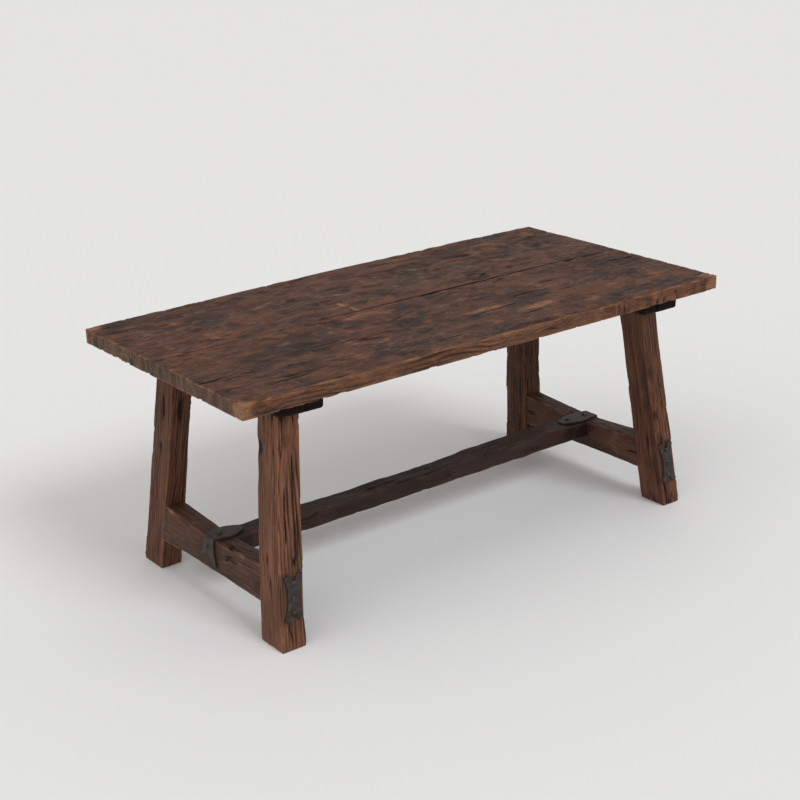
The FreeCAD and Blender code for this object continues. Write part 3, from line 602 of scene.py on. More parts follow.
    def carve(self, straight: Array, outward: Array, ring: Array) -> Marks:
        """Adds up the marks of the three pairs of faces.

        Args:
            straight: points on the rounded box.
            outward: the direction in which each point faces.
            ring: how much of a ring's line comes out at each point.

        Returns:
            The marks at each point.
        """
        total = Marks(*(np.zeros(len(straight)) for _ in range(5)))
        weights = np.abs(outward) ** 2
        weights /= np.maximum(weights.sum(1), TINY)[:, None]
        for axis, (first, second) in enumerate(((2, 1), (0, 2), (0, 1))):
            side = np.where(outward[:, axis] < 0, SIDE_SHIFT, 0.0)
            flat = np.stack([straight[:, first], straight[:, second]], axis=1)
            hewing = self.hewing[axis]
            marks = self.face_marks(flat, side, ring, hewing)
            if axis == 1 and self.chop_reach:
                chops = self.face_marks(flat, side, ring, self.chopped)
                part = ease(straight[:, 0], *self.chop_reach)
                marks.add(chops, part, 1 - part)
            mean = np.average(marks.depth, weights=weights[:, axis])
            marks.depth = np.maximum(marks.depth - hewing.sink * mean, -hewing.proud)
            if axis == 2:
                marks.depth *= np.where(outward[:, 2] < 0, self.underside, 1.0)
            total.add(marks, weights[:, axis])
        corner = self.edge_nearness(straight)
        chips = ease(self.noise.layered(straight / CHIP_SIZE + 31.0), 0.25, 0.9)
        if self.seam:
            corner *= ease(self.half[1] - self.seam * straight[:, 1], *SEAM_CHIPS)
        total.depth += corner * chips * self.hewing[1].chip
        return total

    def face_marks(self, flat: Array, side: Array, ring: Array, hewing: Hewing) -> Marks:
        """The marks on one pair of faces.

        Args:
            flat: places in the plane of the face, the longer way of the marks first.
            side: a number that sets the two opposite faces apart.
            ring: how much of a ring's line comes out at each point.
            hewing: the kind of marks.

        Returns:
            The marks at each point.
        """

        def cells(size: Pair, shift: float) -> Array:
            """Places in cells of a size, shifted so that no two patterns agree."""
            return np.column_stack([flat / size + shift, side + shift])

        middle = np.abs(self.noise.layered(cells(hewing.crack_size, 23.0), 2))
        share = hewing.crack_share
        where = ease(self.noise.layered(cells(CRACKED_SIZE, 29.0), 2), 0.45 - share, 0.75 - share)
        crack = ease(middle, 0.17, 0.03) * where
        wander = self.noise.layered(cells((hewing.wander_length, WANDER_WIDTH), 13.0), 2)
        depth = hewing.crack * crack + hewing.wander * (0.5 + 0.5 * np.clip(wander, -1, 1))

        turn = math.radians(hewing.slant)
        cosine, sine = math.cos(turn), math.sin(turn)
        flat = flat @ np.array([[cosine, -sine], [sine, cosine]])
        bent = self.noise.smooth(cells(BEND_SIZE, 3.0))
        bowls = cells(hewing.scoop, 7.0)[:, :2]
        bowls[:, 0] += side
        bowls[:, 1] += 0.45 * bent
        ridge = np.clip(self.noise.bowls(bowls) ** 2 * 1.9, 0, 1)
        patch = 0.6 + 0.4 * self.noise.smooth(cells(STROKE_SIZE, 11.0))
        depth += hewing.scoop_depth * (1 - ridge) * patch
        ripple = self.noise.layered(cells(hewing.ripple_size, 19.0), 2) + 0.7 * bent
        ripple = 0.5 + 0.5 * np.sin(3.0 * ripple)
        depth += hewing.ripple * ripple
        depth += hewing.groove * ring
        # How deep in the marks each point lies, which the finish darkens as dirt and painted shade.
        hollow = 0.5 * (1 - ridge) * patch + 0.5 * ripple
        return Marks(depth, crack, ridge, hollow, hewing.line * ring)

    def open_splits(self, straight: Array, outward: Array, marks: Marks) -> None:
        """Adds the long open cracks to the marks."""
        for split in self.splits:
            axis, sign = split.side
            facing = ease(sign * outward[:, axis], 0.35, 0.75)
            sway = 0.003 * self.noise.layered(straight / SPLIT_SIZE + 71.0, 3)
            aside = np.abs(straight[:, 3 - axis] - split.place + sway)
            start, end = split.reach
            along = straight[:, 0]
            opened = ease(along, start, start + SPLIT_EASE[0])
            taper = np.minimum(opened, ease(along, end, end - SPLIT_EASE[1]))
            open_here = facing * taper * ease(aside, split.width, 0.3 * split.width)
            marks.depth += split.depth * open_here
            marks.crack = np.maximum(marks.crack, open_here)

    def knot_shapes(self, straight: Array) -> tuple[Array, Array]:
        """Places the knots and bends the grain round them.

        Args:
            straight: points on the rounded box.

        Returns:
            The shift of the grain at each point, and how much of a knot shows there.
        """
        swirl = np.zeros_like(straight)
        shown = np.zeros(len(straight))
        for knot in self.knots:
            gap = straight - np.array(knot.place)
            distance = np.linalg.norm(gap * KNOT_SHAPE, axis=1)
            near = np.exp(-((distance / (1.7 * knot.radius)) ** 2))
            swirl += near[:, None] * gap * KNOT_SWIRL
            inside = ease(distance, 1.25 * knot.radius, 0.5 * knot.radius)
            shown = np.maximum(shown, knot.darkness * inside)
        return swirl, shown

    def stain_marks(self, points: Array) -> dict[str, Array]:
        """The coloured patches of the piece, by the name that the finish reads."""
        found = {name: np.zeros(len(points)) for name in ("dark", "red", "worn")}
        ragged = 0.55 * self.noise.layered(points / STAIN_SIZE + 41.0)
        for stain in self.stains:
            gap = (points[:, :2] - stain.place) / stain.reach
            uneven = ragged * min(1.0, min(stain.reach) / FINE_STAIN)
            inside = ease(np.linalg.norm(gap, axis=1) + uneven, 1.15, 0.5)
            for name, values in found.items():
                found[name] = np.maximum(values, inside * getattr(stain, name))
        return found


def box_section(low: Array, high: Array, grain: Grain) -> Array:
    """The four corners of a rectangular section.

    Args:
        low: the section's lowest corner.
        high: its highest corner, at the same place along the grain.
        grain: the way the grain runs.

    Returns:
        The corners as [across, up, coordinate].
    """
    across, sign, up = grain.value
    corners = np.empty((2, 2, 3))
    for i, j in np.ndindex(2, 2):
        corner = low.copy()
        corner[across] = (low, high)[i if sign > 0 else 1 - i][across]
        corner[up] = (low, high)[j][up]
        corners[i, j] = corner
    return corners


def embedded_place(low: float, high: float, share: float) -> float:
    """A place between two ends that both reach into the neighbouring pieces."""
    return low - EMBED + (high - low + 2 * EMBED) * share


def half_sizes(sections: Array) -> Array:
    """Half of the mean sizes along, across and up, from a piece's sections."""
    along = np.linalg.norm(sections[-1].mean((0, 1)) - sections[0].mean((0, 1)))
    across = np.linalg.norm(sections[:, 1] - sections[:, 0], axis=-1).mean()
    up = np.linalg.norm(sections[:, :, 1] - sections[:, :, 0], axis=-1).mean()
    return np.array([along, across, up]) / 2


class Signal:
    """A socket of a finish that takes part in sums as a number does."""

    def __init__(self, recipe: "Recipe", socket: bpy.types.NodeSocket) -> None:
        """Wraps one output socket."""
        self.recipe = recipe
        self.socket = socket

    def maths(self, operation: str, first: "Signal | float", second: "Signal | float") -> "Signal":
        """Adds a Math node."""
        return self.recipe.node("ShaderNodeMath", {"operation": operation}, {0: first, 1: second})

    def __add__(self, other: "Signal | float") -> "Signal":
        """This signal plus another."""
        return self.maths("ADD", self, other)

    def __sub__(self, other: "Signal | float") -> "Signal":
        """This signal less another."""
        return self.maths("SUBTRACT", self, other)

    def __rsub__(self, other: float) -> "Signal":
        """A number less this signal."""
        return self.maths("SUBTRACT", other, self)

    def __mul__(self, other: "Signal | float") -> "Signal":
        """This signal times another."""
        return self.maths("MULTIPLY", self, other)

    def __truediv__(self, other: "Signal | float") -> "Signal":
        """This signal divided by another."""
        return self.maths("DIVIDE", self, other)

    __radd__ = __add__
    __rmul__ = __mul__


class Recipe:
    """The nodes of one material."""

    def __init__(self, name: str) -> None:
        """Starts a material with a principled shader."""
        self.material = bpy.data.materials.new(name)
        self.material.use_nodes = True
        self.tree = self.material.node_tree
        self.tree.nodes.clear()
        surface = self.node("ShaderNodeBsdfPrincipled")
        self.shader = surface.socket.node
        self.node("ShaderNodeOutputMaterial", inputs={"Surface": surface})

    def node(
        self,
        kind: str,
        settings: dict[str, object] | None = None,
        inputs: dict[str | int, object] | None = None,
        output: str | int = 0,
    ) -> Signal | None:
        """Adds a node.

        Args:
            kind: the node's type.
            settings: its settings, which are made first.
            inputs: the value or link of each socket, by name or number.
            output: the socket to give back.

        Returns:
            That output as a signal, or None where the node has no outputs.
        """
        made = self.tree.nodes.new(kind)
        for name, setting in (settings or {}).items():
            setattr(made, name, setting)
        for key, content in (inputs or {}).items():
            self.feed(made.inputs[key], content)
        return Signal(self, made.outputs[output]) if len(made.outputs) else None

    def feed(self, socket: bpy.types.NodeSocket, content: object) -> None:
        """Links a signal to a socket, or writes a value on it."""
        if isinstance(content, Signal):
            self.tree.links.new(content.socket, socket)
        elif socket.type == "RGBA":
            socket.default_value = (*content, 1.0)
        else:
            socket.default_value = content

    def surface(self, **inputs: object) -> bpy.types.Material:
        """Feeds the principled shader, with underscores for the spaces in socket names."""
        for name, content in inputs.items():
            self.feed(self.shader.inputs[name.replace("_", " ")], content)
        return self.material

    def attribute(self, name: str, output: str = "Fac") -> Signal:
        """A number, or a "Vector", that the mesh holds for each vertex."""
        return self.node("ShaderNodeAttribute", {"attribute_name": name}, output=output)

    def vector_maths(self, operation: str, first: object, second: object) -> Signal:
        """Adds a Vector Math node."""
        return self.node("ShaderNodeVectorMath", {"operation": operation}, {0: first, 1: second})

    def noise(self, places: Signal, sizes: Triple, detail: float = 3.0,
              distortion: float = 0.0, output: str = "Fac") -> Signal:
        """Noise whose features have some size along each axis.

        Args:
            places: where the noise is read.
            sizes: the features' size along each axis, in metres.
            detail: how many finer layers are added.
            distortion: how much the noise is twisted.
            output: "Fac" for a number, "Color" for a vector.

        Returns:
            The noise, about 0.5 in the mean.
        """
        stretched = self.vector_maths("DIVIDE", places, sizes)
        return self.node(
            "ShaderNodeTexNoise",
            inputs={"Vector": stretched, "Scale": 1.0, "Detail": detail, "Distortion": distortion},
            output=output,
        )

    def step(self, signal: Signal, low: float, high: float) -> Signal:
        """Rises smoothly from 0 at low to 1 at high."""
        return self.node(
            "ShaderNodeMapRange",
            {"interpolation_type": "SMOOTHSTEP"},
            {"Value": signal, "From Min": low, "From Max": high},
        )

    def mix(self, share: Signal | float, first: object, second: object) -> Signal:
        """Mixes two colours: share 0 gives the first, and 1 the second."""
        return self.node(
            "ShaderNodeMix", {"data_type": "RGBA"}, {0: share, 6: first, 7: second}, output=2
        )

    def bump(self, height: Signal, depth: float, strength: float = 1.0) -> Signal:
        """A normal that follows a height of 0 to 1 over some depth in metres."""
        inputs = {"Height": height, "Distance": depth, "Strength": strength}
        return self.node("ShaderNodeBump", inputs=inputs)


@dataclass(frozen=True)
class Wood:
    """Old waxed wood: growth rings, fibres, pores, stains, cracks and worn edges, with dirt and
    painted shade in the hollows and wear and painted highlights on the ridges.
    """

    name: str
    base: Colour = (0.098, 0.038, 0.021)
    dark: Colour = (0.030, 0.015, 0.012)
    light: Colour = (0.170, 0.074, 0.041)
    red: Colour = (0.190, 0.056, 0.024)
    worn: Colour = (0.360, 0.170, 0.082)
    end_grain: Colour = (0.095, 0.058, 0.036)
    crack: Colour = (0.010, 0.006, 0.004)
    ring: float = 0.0030
    ring_share: float = 0.45
    sway: Pair = (0.30, 0.028)
    streak: Pair = (0.22, 0.011)
    patch_edge: Pair = (0.34, 0.60)
    streak_edge: Pair = (0.45, 0.70)
    fibre: Pair = (0.040, 0.0024)
    flake: Pair = (0.030, 0.006)
    flake_edge: Pair = (0.38, 0.62)
    layer: float = 1.0
    fibre_edge: Pair = (0.52, 0.66)
    fibre_share: float = 0.4
    line_share: float = 0.6
    hollow_share: float = 0.5
    hollow_edge: Pair = (0.35, 0.95)
    streak_share: float = 0.6
    wear_share: float = 0.8
    roughness: float = 0.52
    specular: float = 0.15
    relief: float = 0.0009
    wobble_size: Pair = (0.06, 0.06)
    patch_size: Triple = (0.16, 0.06, 0.06)
    blush_size: Triple = (0.09, 0.035, 0.035)
    pore_size: Triple = (0.010, 0.0007, 0.0007)
    blush_share: float = 0.45
    pore_share: float = 0.55
    end_share: float = 0.75
    stain_share: float = 0.85
    red_share: float = 0.8
    ridge_share: float = 0.35
    crack_share: float = 0.9

    def material(self) -> bpy.types.Material:
        """The finish as a material, for meshes with grain and marks written on them."""
        recipe = Recipe(self.name)
        mark = recipe.attribute
        grain = mark("grain", "Vector")
        length, swing = self.sway
        wobble = recipe.noise(grain, (length, *self.wobble_size), 2.0, output="Color")
        wobble = recipe.vector_maths("MULTIPLY", wobble, (0.0, swing, swing))
        bent = recipe.vector_maths("ADD", grain, wobble)
        radius = recipe.vector_maths("MULTIPLY", bent, (0.0, 1.0, 1.0))
        radius = recipe.node("ShaderNodeVectorMath", {"operation": "LENGTH"}, {0: radius}, "Value")
        rings = recipe.node(
            "ShaderNodeTexNoise",
            {"noise_dimensions": "1D"},
            {"W": radius / self.ring, "Scale": 1.0, "Detail": 1.0},
        )
        late = recipe.step(rings, 0.46, 0.62)
        fibre = recipe.noise(bent, (*self.fibre, self.fibre[1]), 4.0)
        streak = recipe.noise(bent, (*self.streak, self.streak[1] * self.layer), 4.0, 0.3)
        patch = recipe.noise(grain, self.patch_size, 3.0, 0.4)
        pore = recipe.step(recipe.noise(bent, self.pore_size, 1.0), 0.60, 0.72)
        breakup = recipe.noise(grain, (*self.flake, self.flake[1] * self.layer), 4.0)
        breakup = recipe.step(breakup, *self.flake_edge)
        blush = recipe.step(recipe.noise(grain, self.blush_size, 3.0, 0.6), 0.52, 0.68)
        hollow = recipe.step(mark("hollow"), *self.hollow_edge)
        # Edge wear, plus ridges lightened partly as wear and partly as a painted highlight.
        wear = mark("wear") + recipe.step(mark("ridge"), 0.78, 1.0) * self.ridge_share
        layers = (
            (recipe.step(streak, *self.streak_edge) * self.streak_share, self.light),
            (blush * breakup * self.blush_share, self.red),
            (mark("end") * self.end_share, self.end_grain),
            (late * self.ring_share, self.dark),
            (recipe.step(fibre, *self.fibre_edge) * self.fibre_share, self.light),
            (pore * self.pore_share, self.crack),
            # Darkens the hollows, partly as dirt and partly as painted shade.
            (hollow * self.hollow_share, self.dark),
            (mark("dark") * self.stain_share, self.dark),
            (mark("red") * breakup * self.red_share, self.red),
            (wear * self.wear_share * (0.25 + 0.75 * breakup), self.worn),
            (mark("worn") * (0.65 + 0.35 * breakup), self.worn),
            (mark("ring") * self.line_share, self.crack),
            (mark("knot") * self.stain_share, self.crack),
            (mark("crack") * self.crack_share, self.crack),
        )
        colour = recipe.mix(recipe.step(patch, *self.patch_edge), self.dark, self.base)
        for share, layer in layers:
            colour = recipe.mix(share, colour, layer)
        roughness = self.roughness + 0.16 * (patch - 0.5) + 0.14 * (fibre - 0.5)
        roughness = roughness + 0.3 * mark("crack")
        height = 0.55 * fibre + 0.25 * (1 - late) + 0.20 * (1 - pore)
        return recipe.surface(
            Base_Color=colour,
            Roughness=roughness,
            Normal=recipe.bump(height, self.relief),
            Specular_IOR_Level=self.specular,
        )


@dataclass(frozen=True)
class Iron:
    """Forged iron: dark scale with lighter rubbed places and a little rust."""

    name: str
    scale: Colour = (0.021, 0.017, 0.0155)
    rubbed: Colour = (0.046, 0.039, 0.036)
    rust: Colour = (0.044, 0.024, 0.016)
    metallic: float = 0.35
    roughness: float = 0.50

    def material(self) -> bpy.types.Material:
        """The finish as a material, in the object's own coordinates."""
        recipe = Recipe(self.name)
        places = recipe.node("ShaderNodeTexCoord", output="Object")
        cloud = recipe.noise(places, (0.012, 0.012, 0.012), 4.0, 0.5)
        grit = recipe.noise(places, (0.0012, 0.0012, 0.0012), 3.0)
        stain = recipe.noise(places, (0.025, 0.025, 0.025), 3.0, 0.8)
        colour = recipe.mix(recipe.step(cloud, 0.42, 0.66), self.scale, self.rubbed)
        colour = recipe.mix(recipe.step(stain, 0.52, 0.70) * 0.7, colour, self.rust)
        roughness = self.roughness + 0.25 * (cloud - 0.5) + 0.2 * (grit - 0.5)
        return recipe.surface(
            Base_Color=colour,
            Metallic=self.metallic,
            Roughness=roughness,
            Normal=recipe.bump(0.6 * cloud + 0.4 * grit, 0.0005),
        )


@dataclass(frozen=True)
class PlainWood:
    """Clean wood of the hidden pegs and wedges, which carry no marks."""

    name: str
    base: Colour = (0.17, 0.10, 0.055)
    dark: Colour = (0.08, 0.045, 0.025)

    def material(self) -> bpy.types.Material:
        """The finish as a material, with its fibres along Y."""
        recipe = Recipe(self.name)
        places = recipe.node("ShaderNodeTexCoord", output="Object")
        fibre = recipe.noise(places, (0.0016, 0.05, 0.0016), 4.0)
        patch = recipe.noise(places, (0.01, 0.04, 0.01), 2.0)
        colour = recipe.mix(recipe.step(fibre, 0.4, 0.65), self.base, self.dark)
        return recipe.surface(
            Base_Color=colour,
            Roughness=0.6 + 0.2 * (patch - 0.5),
            Normal=recipe.bump(fibre, 0.0003),
        )


def set_in_place(piece: bpy.types.Object, node: str, finish: bpy.types.Material) -> None:
    """Gives a piece its finish and lets it stand for its node.

    Args:
        piece: the piece.
        node: the node it stands for.
        finish: its material.
    """
    piece.data.materials.clear()
    piece.data.materials.append(finish)
    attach(piece, "root")
    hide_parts(node)
    log.info("%s: %d faces, for %s", piece.name, len(piece.data.polygons), node)


def dress_node(node: str, finish: bpy.types.Material) -> None:
    """Gives a node that stays in view its finish."""
    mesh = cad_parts[node].data
    mesh.materials.clear()
    mesh.materials.append(finish)
    log.info("%s: keeps its solid", node)


@dataclass
class Top:
    """The two planks of the top, and the pegs between them."""

    finish: Wood
    peg_finish: PlainWood
    seed: int = 21
    stations: int = 90
    ring_pitch: float = 0.0048
    cell: Triple = (0.0039, 0.0026, 0.0011)
    outer_rounding: Pair = (0.0014, 0.0022)
    seam_rounding: Pair = (0.0008, 0.0012)
    plan_corner: float = 0.006
    crisp: float = 0.022
    crisp_share: float = 0.32
    underside: float = 0.3
    gap: Pair = (-0.150, 0.420)
    faces: Hewing = Hewing(
        scoop=(0.062, 0.042), scoop_depth=0.0034, slant=-14.0, wander=0.0012, wander_length=0.16,
        ripple=0.0022, ripple_size=(0.030, 0.019), crack=0.0008, crack_share=0.06,
        crack_size=(0.14, 0.010), groove=0.0002, line=0.15, chip=0.0018, sink=0.9,
    )
    edges: Hewing = Hewing(
        scoop=(0.045, 0.050), scoop_depth=0.0014, wander=0.0012, wander_length=0.09,
        ripple_size=(0.10, 0.007), crack=0.0016, crack_share=0.12,
        crack_size=(0.12, 0.009), groove=0.0015, line=1.05, chip=0.0038, sink=1.3,
    )
    ends: Hewing = Hewing(
        scoop=(0.060, 0.016), scoop_depth=0.0024, wander=0.0008, wander_length=0.06,
        ripple=0.0008, ripple_size=(0.05, 0.008), crack=0.0012, crack_share=0.30,
        crack_size=(0.05, 0.006), groove=0.0, line=0.0, chip=0.0012,
    )
    chops: Hewing = Hewing(
        scoop=(0.022, 0.080), scoop_depth=0.0042, wander=0.0012, wander_length=0.09,
        ripple=0.0012, ripple_size=(0.014, 0.060), crack=0.0022, crack_share=0.40,
        crack_size=(0.016, 0.060), groove=0.0, line=0.15,
    )
    chop_reach: Pair = (0.12, 0.26)
    flows: tuple[Flow, ...] = (
        Flow((-0.45, -0.30), (0.0, 0.012)),
        Flow((-0.02, 0.07), (0.0, -0.034)),
        Flow((0.10, 0.20), (0.0, -0.022)),
        Flow((0.30, 0.45), (0.0, 0.018)),
    )
    stains: tuple[Stain, ...] = (
        Stain((0.197, -0.120), (0.050, 0.030), dark=1.0),
        Stain((-0.1225, 0.067), (0.0035, 0.018), worn=1.3),
        Stain((-0.118, 0.026), (0.0035, 0.022), worn=1.1),
        Stain((-0.125, -0.020), (0.055, 0.024), red=1.0, worn=0.35),
        Stain((-0.060, -0.026), (0.045, 0.022), dark=0.9),
        Stain((-0.089, -0.121), (0.060, 0.025), dark=0.7),
        Stain((-0.368, -0.086), (0.110, 0.060), dark=0.8),
        Stain((-0.357, 0.184), (0.060, 0.035), dark=0.7),
        Stain((-0.545, 0.241), (0.045, 0.030), dark=0.7),
        Stain((-0.418, 0.040), (0.070, 0.035), red=0.8),
        Stain((-0.484, -0.012), (0.080, 0.045), red=0.7),
        Stain((0.080, -0.150), (0.080, 0.010), worn=0.6, red=0.6),
        Stain((0.165, -0.198), (0.060, 0.012), worn=0.6, red=0.5),
        Stain((0.083, 0.191), (0.080, 0.030), dark=0.5),
        Stain((0.279, 0.229), (0.090, 0.025), dark=0.6),
        Stain((0.509, -0.087), (0.060, 0.050), dark=0.5),
        Stain((-0.289, -0.134), (0.070, 0.030), dark=0.5),
        Stain((-0.579, -0.290), (0.030, 0.022), worn=0.7),
        # Along the front face of the top: worn, reddish wood, and painted light that makes the face
        # brighter.
        Stain((-0.330, -0.2945), (0.220, 0.0070), worn=0.18, red=0.4),
        Stain((0.060, -0.2945), (0.210, 0.0070), worn=0.22, red=0.3),
        Stain((0.430, -0.2945), (0.140, 0.0070), worn=0.06, red=0.4),
        Stain((0.579, -0.290), (0.030, 0.022), worn=0.6),
        Stain((-0.572, 0.262), (0.022, 0.020), worn=0.6),
    )
    pieces: dict[str, bpy.types.Object] = field(default_factory=dict)

    def plank(self, row: Row) -> Timber:
        """One plank, whose sections follow its solid from end to end."""
        node = f"plank_{row.word}"
        solid = Solid(node)
        sections = []
        for place in np.linspace(solid.low[0], solid.high[0], self.stations):
            inside = np.clip(place, solid.low[0] + CORNER_SKIP, solid.high[0] - CORNER_SKIP)
            low, high = solid.section(0, inside)
            low[0] = high[0] = place
            low[2], high[2] = solid.low[2], solid.high[2]
            sections.append(box_section(low, high, Grain.LENGTHWISE))
        sides = (self.outer_rounding, self.seam_rounding)
        return Timber(
            node, sections, self.seed + row.value, (self.ends, self.edges, self.faces),
            roundings=sides if row is Row.FRONT else sides[::-1], cell=self.cell,
            plan_corner=self.plan_corner, chopped=self.chops, chop_reach=self.chop_reach,
            crisp=self.crisp, crisp_share=self.crisp_share, crisp_axes=(0, 1),
            underside=self.underside, seam=-row.value, gap=self.gap,
            seats=tuple(f"batten_{end.word}" for end in End), knots=self.knots(row, solid),
            flows=self.flows, stains=self.stains, ring_pitch=self.ring_pitch,
            pith=(0.03, -0.09 if row is Row.FRONT else -0.14),
        )

    def knots(self, row: Row, solid: Solid) -> tuple[Knot, ...]:
        """The knots of one plank, which its middle sets in its own axes."""
        middle = (solid.low + solid.high) / 2
        top = (solid.high[2] - solid.low[2]) / 2
        places = {
            Row.FRONT: [(0.197, -0.120, 0.008), (-0.32, -0.216, 0.005)],
            Row.BACK: [(0.42, 0.184, 0.006), (-0.2, 0.154, 0.006)],
        }
        return tuple(
            Knot((x - middle[0], y - middle[1], top), radius) for x, y, radius in places[row]
        )

    def build(self) -> None:
        """Makes both planks."""
        for row in Row:
            plank = self.plank(row)
            self.pieces[plank.node] = plank.build()

    def dress(self) -> None:
        """Finishes the planks and the pegs."""
        finish = self.finish.material()
        for node, piece in self.pieces.items():
            set_in_place(piece, node, finish)
        dress_node("plank_pegs", self.peg_finish.material())


@dataclass
class Trestles:
    """Legs, battens and stretchers, with the wedges and screws that hold them."""

    leg_finish: Wood
    # A lighter copy of the leg finish for the near leg: partly its own tone, partly painted light.
    near_leg_finish: Wood
    # A darker copy of the leg finish that paints the shade on the far back leg.
    far_leg_finish: Wood
    rail_finish: Wood
    stretcher_finish: Wood
    # Dark wood, made darker still as painted shade under the top.
    batten_finish: Wood
    wedge_finish: PlainWood
    screw_finish: Iron
    leg_hewing: Hewing = Hewing(
        scoop=(0.070, 0.045), scoop_depth=0.0016, wander=0.0028, wander_length=0.085,
        ripple=0.0004, ripple_size=(0.12, 0.007), crack=0.0028, crack_share=0.24,
        crack_size=(0.14, 0.006), groove=0.0010, chip=0.0016, sink=1.45, proud=0.0034,
    )
    end_hewing: Hewing = Hewing(
        scoop_depth=0.0004, wander=0.0003, crack=0.0006, line=0.0, chip=0.001
    )
    rail_hewing: Hewing = Hewing(
        scoop=(0.055, 0.040), scoop_depth=0.0020, wander=0.0030, wander_length=0.075,
        ripple=0.0005, ripple_size=(0.10, 0.007), crack=0.0022, crack_share=0.28,
        crack_size=(0.13, 0.006), groove=0.0008, chip=0.0018, proud=0.0028,
    )
    beam_hewing: Hewing = Hewing(
        scoop=(0.07, 0.04), scoop_depth=0.0018, wander=0.0026, wander_length=0.08,
        ripple=0.0004, ripple_size=(0.07, 0.010), crack=0.0012, crack_share=0.10,
        crack_size=(0.10, 0.010), groove=0.0003, line=0.5, chip=0.0016, sink=1.3, proud=0.0030,
    )
    batten_hewing: Hewing = Hewing(
        scoop=(0.06, 0.04), scoop_depth=0.0014, wander=0.0014, crack=0.0018, crack_share=0.30,
        crack_size=(0.11, 0.008), groove=0.0006, chip=0.0016,
    )
    figure: float = 1.9
    leg_rounding: float = 0.0015
    leg_crisp: float = 0.014
    leg_rings: float = 0.0045
    leg_cell: Triple = (0.0030, 0.0012, 0.0012)
    near_swell: Pair = (0.005, 0.004)
    rail_haunch: float = 0.005
    rail_cell: Triple = (0.0030, 0.0014, 0.0014)
    rail_roundings: Corners = ((0.003, 0.004), (0.003, 0.004))
    beam_roundings: Corners = ((0.002, 0.002), (0.003, 0.005))
    beam_swell: float = 0.0055
    batten_roundings: Corners = ((0.007, 0.001), (0.014, 0.001))
    batten_cell: Triple = (0.005, 0.0026, 0.0026)
    leg_seed: int = 30
    rail_seed: int = 40
    batten_seed: int = 50
    beam_seed: int = 60
    stations: int = 48
    pieces: dict[str, bpy.types.Object] = field(default_factory=dict)
    finishes: dict[str, tuple[Wood, str]] = field(default_factory=dict)

    def leg(self, end: End, row: Row, seed: int) -> Timber:
        """A leg, from the floor to just inside its batten."""
        node = f"leg_{row.word}_{end.word}"
        solid = Solid(node)
        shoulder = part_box(f"batten_{end.word}")[0].z
        sections = []
        for height in np.linspace(0.0, shoulder + EMBED, self.stations):
            low, high = solid.section(2, np.clip(height, FOOT_SKIP, shoulder - EMBED / 10))
            low[2] = high[2] = height
            if (end, row) == (End.LEFT, Row.FRONT):
                low[0] -= self.near_swell[0] * ease(height, 0.40, 0.22)
                low[1] -= self.near_swell[1] * ease(height, 0.06, 0.0)
            sections.append(box_section(low, high, Grain.UPRIGHT))
        figured = replace(self.leg_hewing, line=self.figure)
        return Timber(
            node, sections, seed, (self.end_hewing, self.leg_hewing, figured),
            roundings=((self.leg_rounding,) * 2,) * 2, cell=self.leg_cell, crisp=self.leg_crisp,
            splits=self.leg_splits(end, row), knots=self.leg_knots(end, row),
            rusty_seats=(f"leg_plate_{row.word}_{end.word}",),
            pith=(-0.11 - 0.01 * row.value, -0.11 + 0.01 * end.value), ring_pitch=self.leg_rings,
        )

    def leg_splits(self, end: End, row: Row) -> tuple[Split, ...]:
        """The long cracks of a leg, on its front and on its left face."""
        front, left = (2, -1), (1, -1)
        if (end, row) == (End.LEFT, Row.FRONT):
            return (
                Split(front, (-0.08, 0.15), 0.0085, 0.0020, 0.0038),
                Split(front, (-0.06, 0.07), 0.0145, 0.0016, 0.0028),
                Split(front, (-0.03, 0.09), -0.0105, 0.0026, 0.0042),
                Split(front, (0.00, 0.12), -0.0030, 0.0014, 0.0025),
                Split(front, (-0.22, -0.15), -0.0050, 0.0022, 0.0030),
                Split(left, (-0.10, 0.08), 0.018, 0.0010, 0.0015),
                Split(left, (0.00, 0.15), -0.020, 0.0010, 0.0015),
            )
        if (end, row) == (End.RIGHT, Row.FRONT):
            return (
                Split(front, (-0.27, -0.15), -0.0143, 0.0030, 0.0070),
                Split(front, (-0.02, 0.18), 0.009, 0.0014, 0.0030),
                Split(left, (-0.20, 0.05), -0.022, 0.0010, 0.0015),
                Split(left, (-0.05, 0.20), 0.006, 0.0009, 0.0015),
            )
        return (
            Split(left, (-0.12, 0.16), 0.004 * row.value, 0.0012, 0.0020),
            Split(front, (-0.10, 0.20), -0.004, 0.0012, 0.0020),
        )

    def leg_knots(self, end: End, row: Row) -> tuple[Knot, ...]:
        """The knots of a leg, in its own axes: up the leg, along the table and to the back."""
        if (end, row) == (End.LEFT, Row.FRONT):
            return (
                Knot((0.145, -0.022, 0.026), 0.011, dent=0.002),
                Knot((0.168, -0.006, -0.033), 0.010, darkness=0.35),
            )
        if (end, row) == (End.RIGHT, Row.FRONT):
            return (
                Knot((-0.014, -0.0145, -0.033), 0.008, darkness=0.8),
                Knot((0.032, -0.006, -0.033), 0.013, darkness=0.35),
                Knot((0.083, -0.0125, -0.033), 0.010, darkness=0.5),
                Knot((-0.065, -0.014, -0.033), 0.009, darkness=0.6),
            )
        return (Knot((0.04, 0.02 * end.value, 0.0), 0.008),)

    def end_stretcher(self, end: End, seed: int) -> Timber:
        """An end stretcher, leaning with the legs, with the dip in its top."""
        node = f"end_stretcher_{end.word}"
        solid = Solid(node)
        bottom, top = solid.low[2], solid.high[2]
        levels = (bottom + CORNER_SKIP, top - SKIN)
        boxes = [solid.section(2, level) for level in levels]
        first, last = boxes[1][0][1], boxes[1][1][1]

        def box_at(height: float) -> tuple[Array, Array]:
            """The stretcher's box at some height, along the lean of its sides."""
            part = (height - levels[0]) / (levels[1] - levels[0])
            return tuple(boxes[0][i] + (boxes[1][i] - boxes[0][i]) * part for i in range(2))

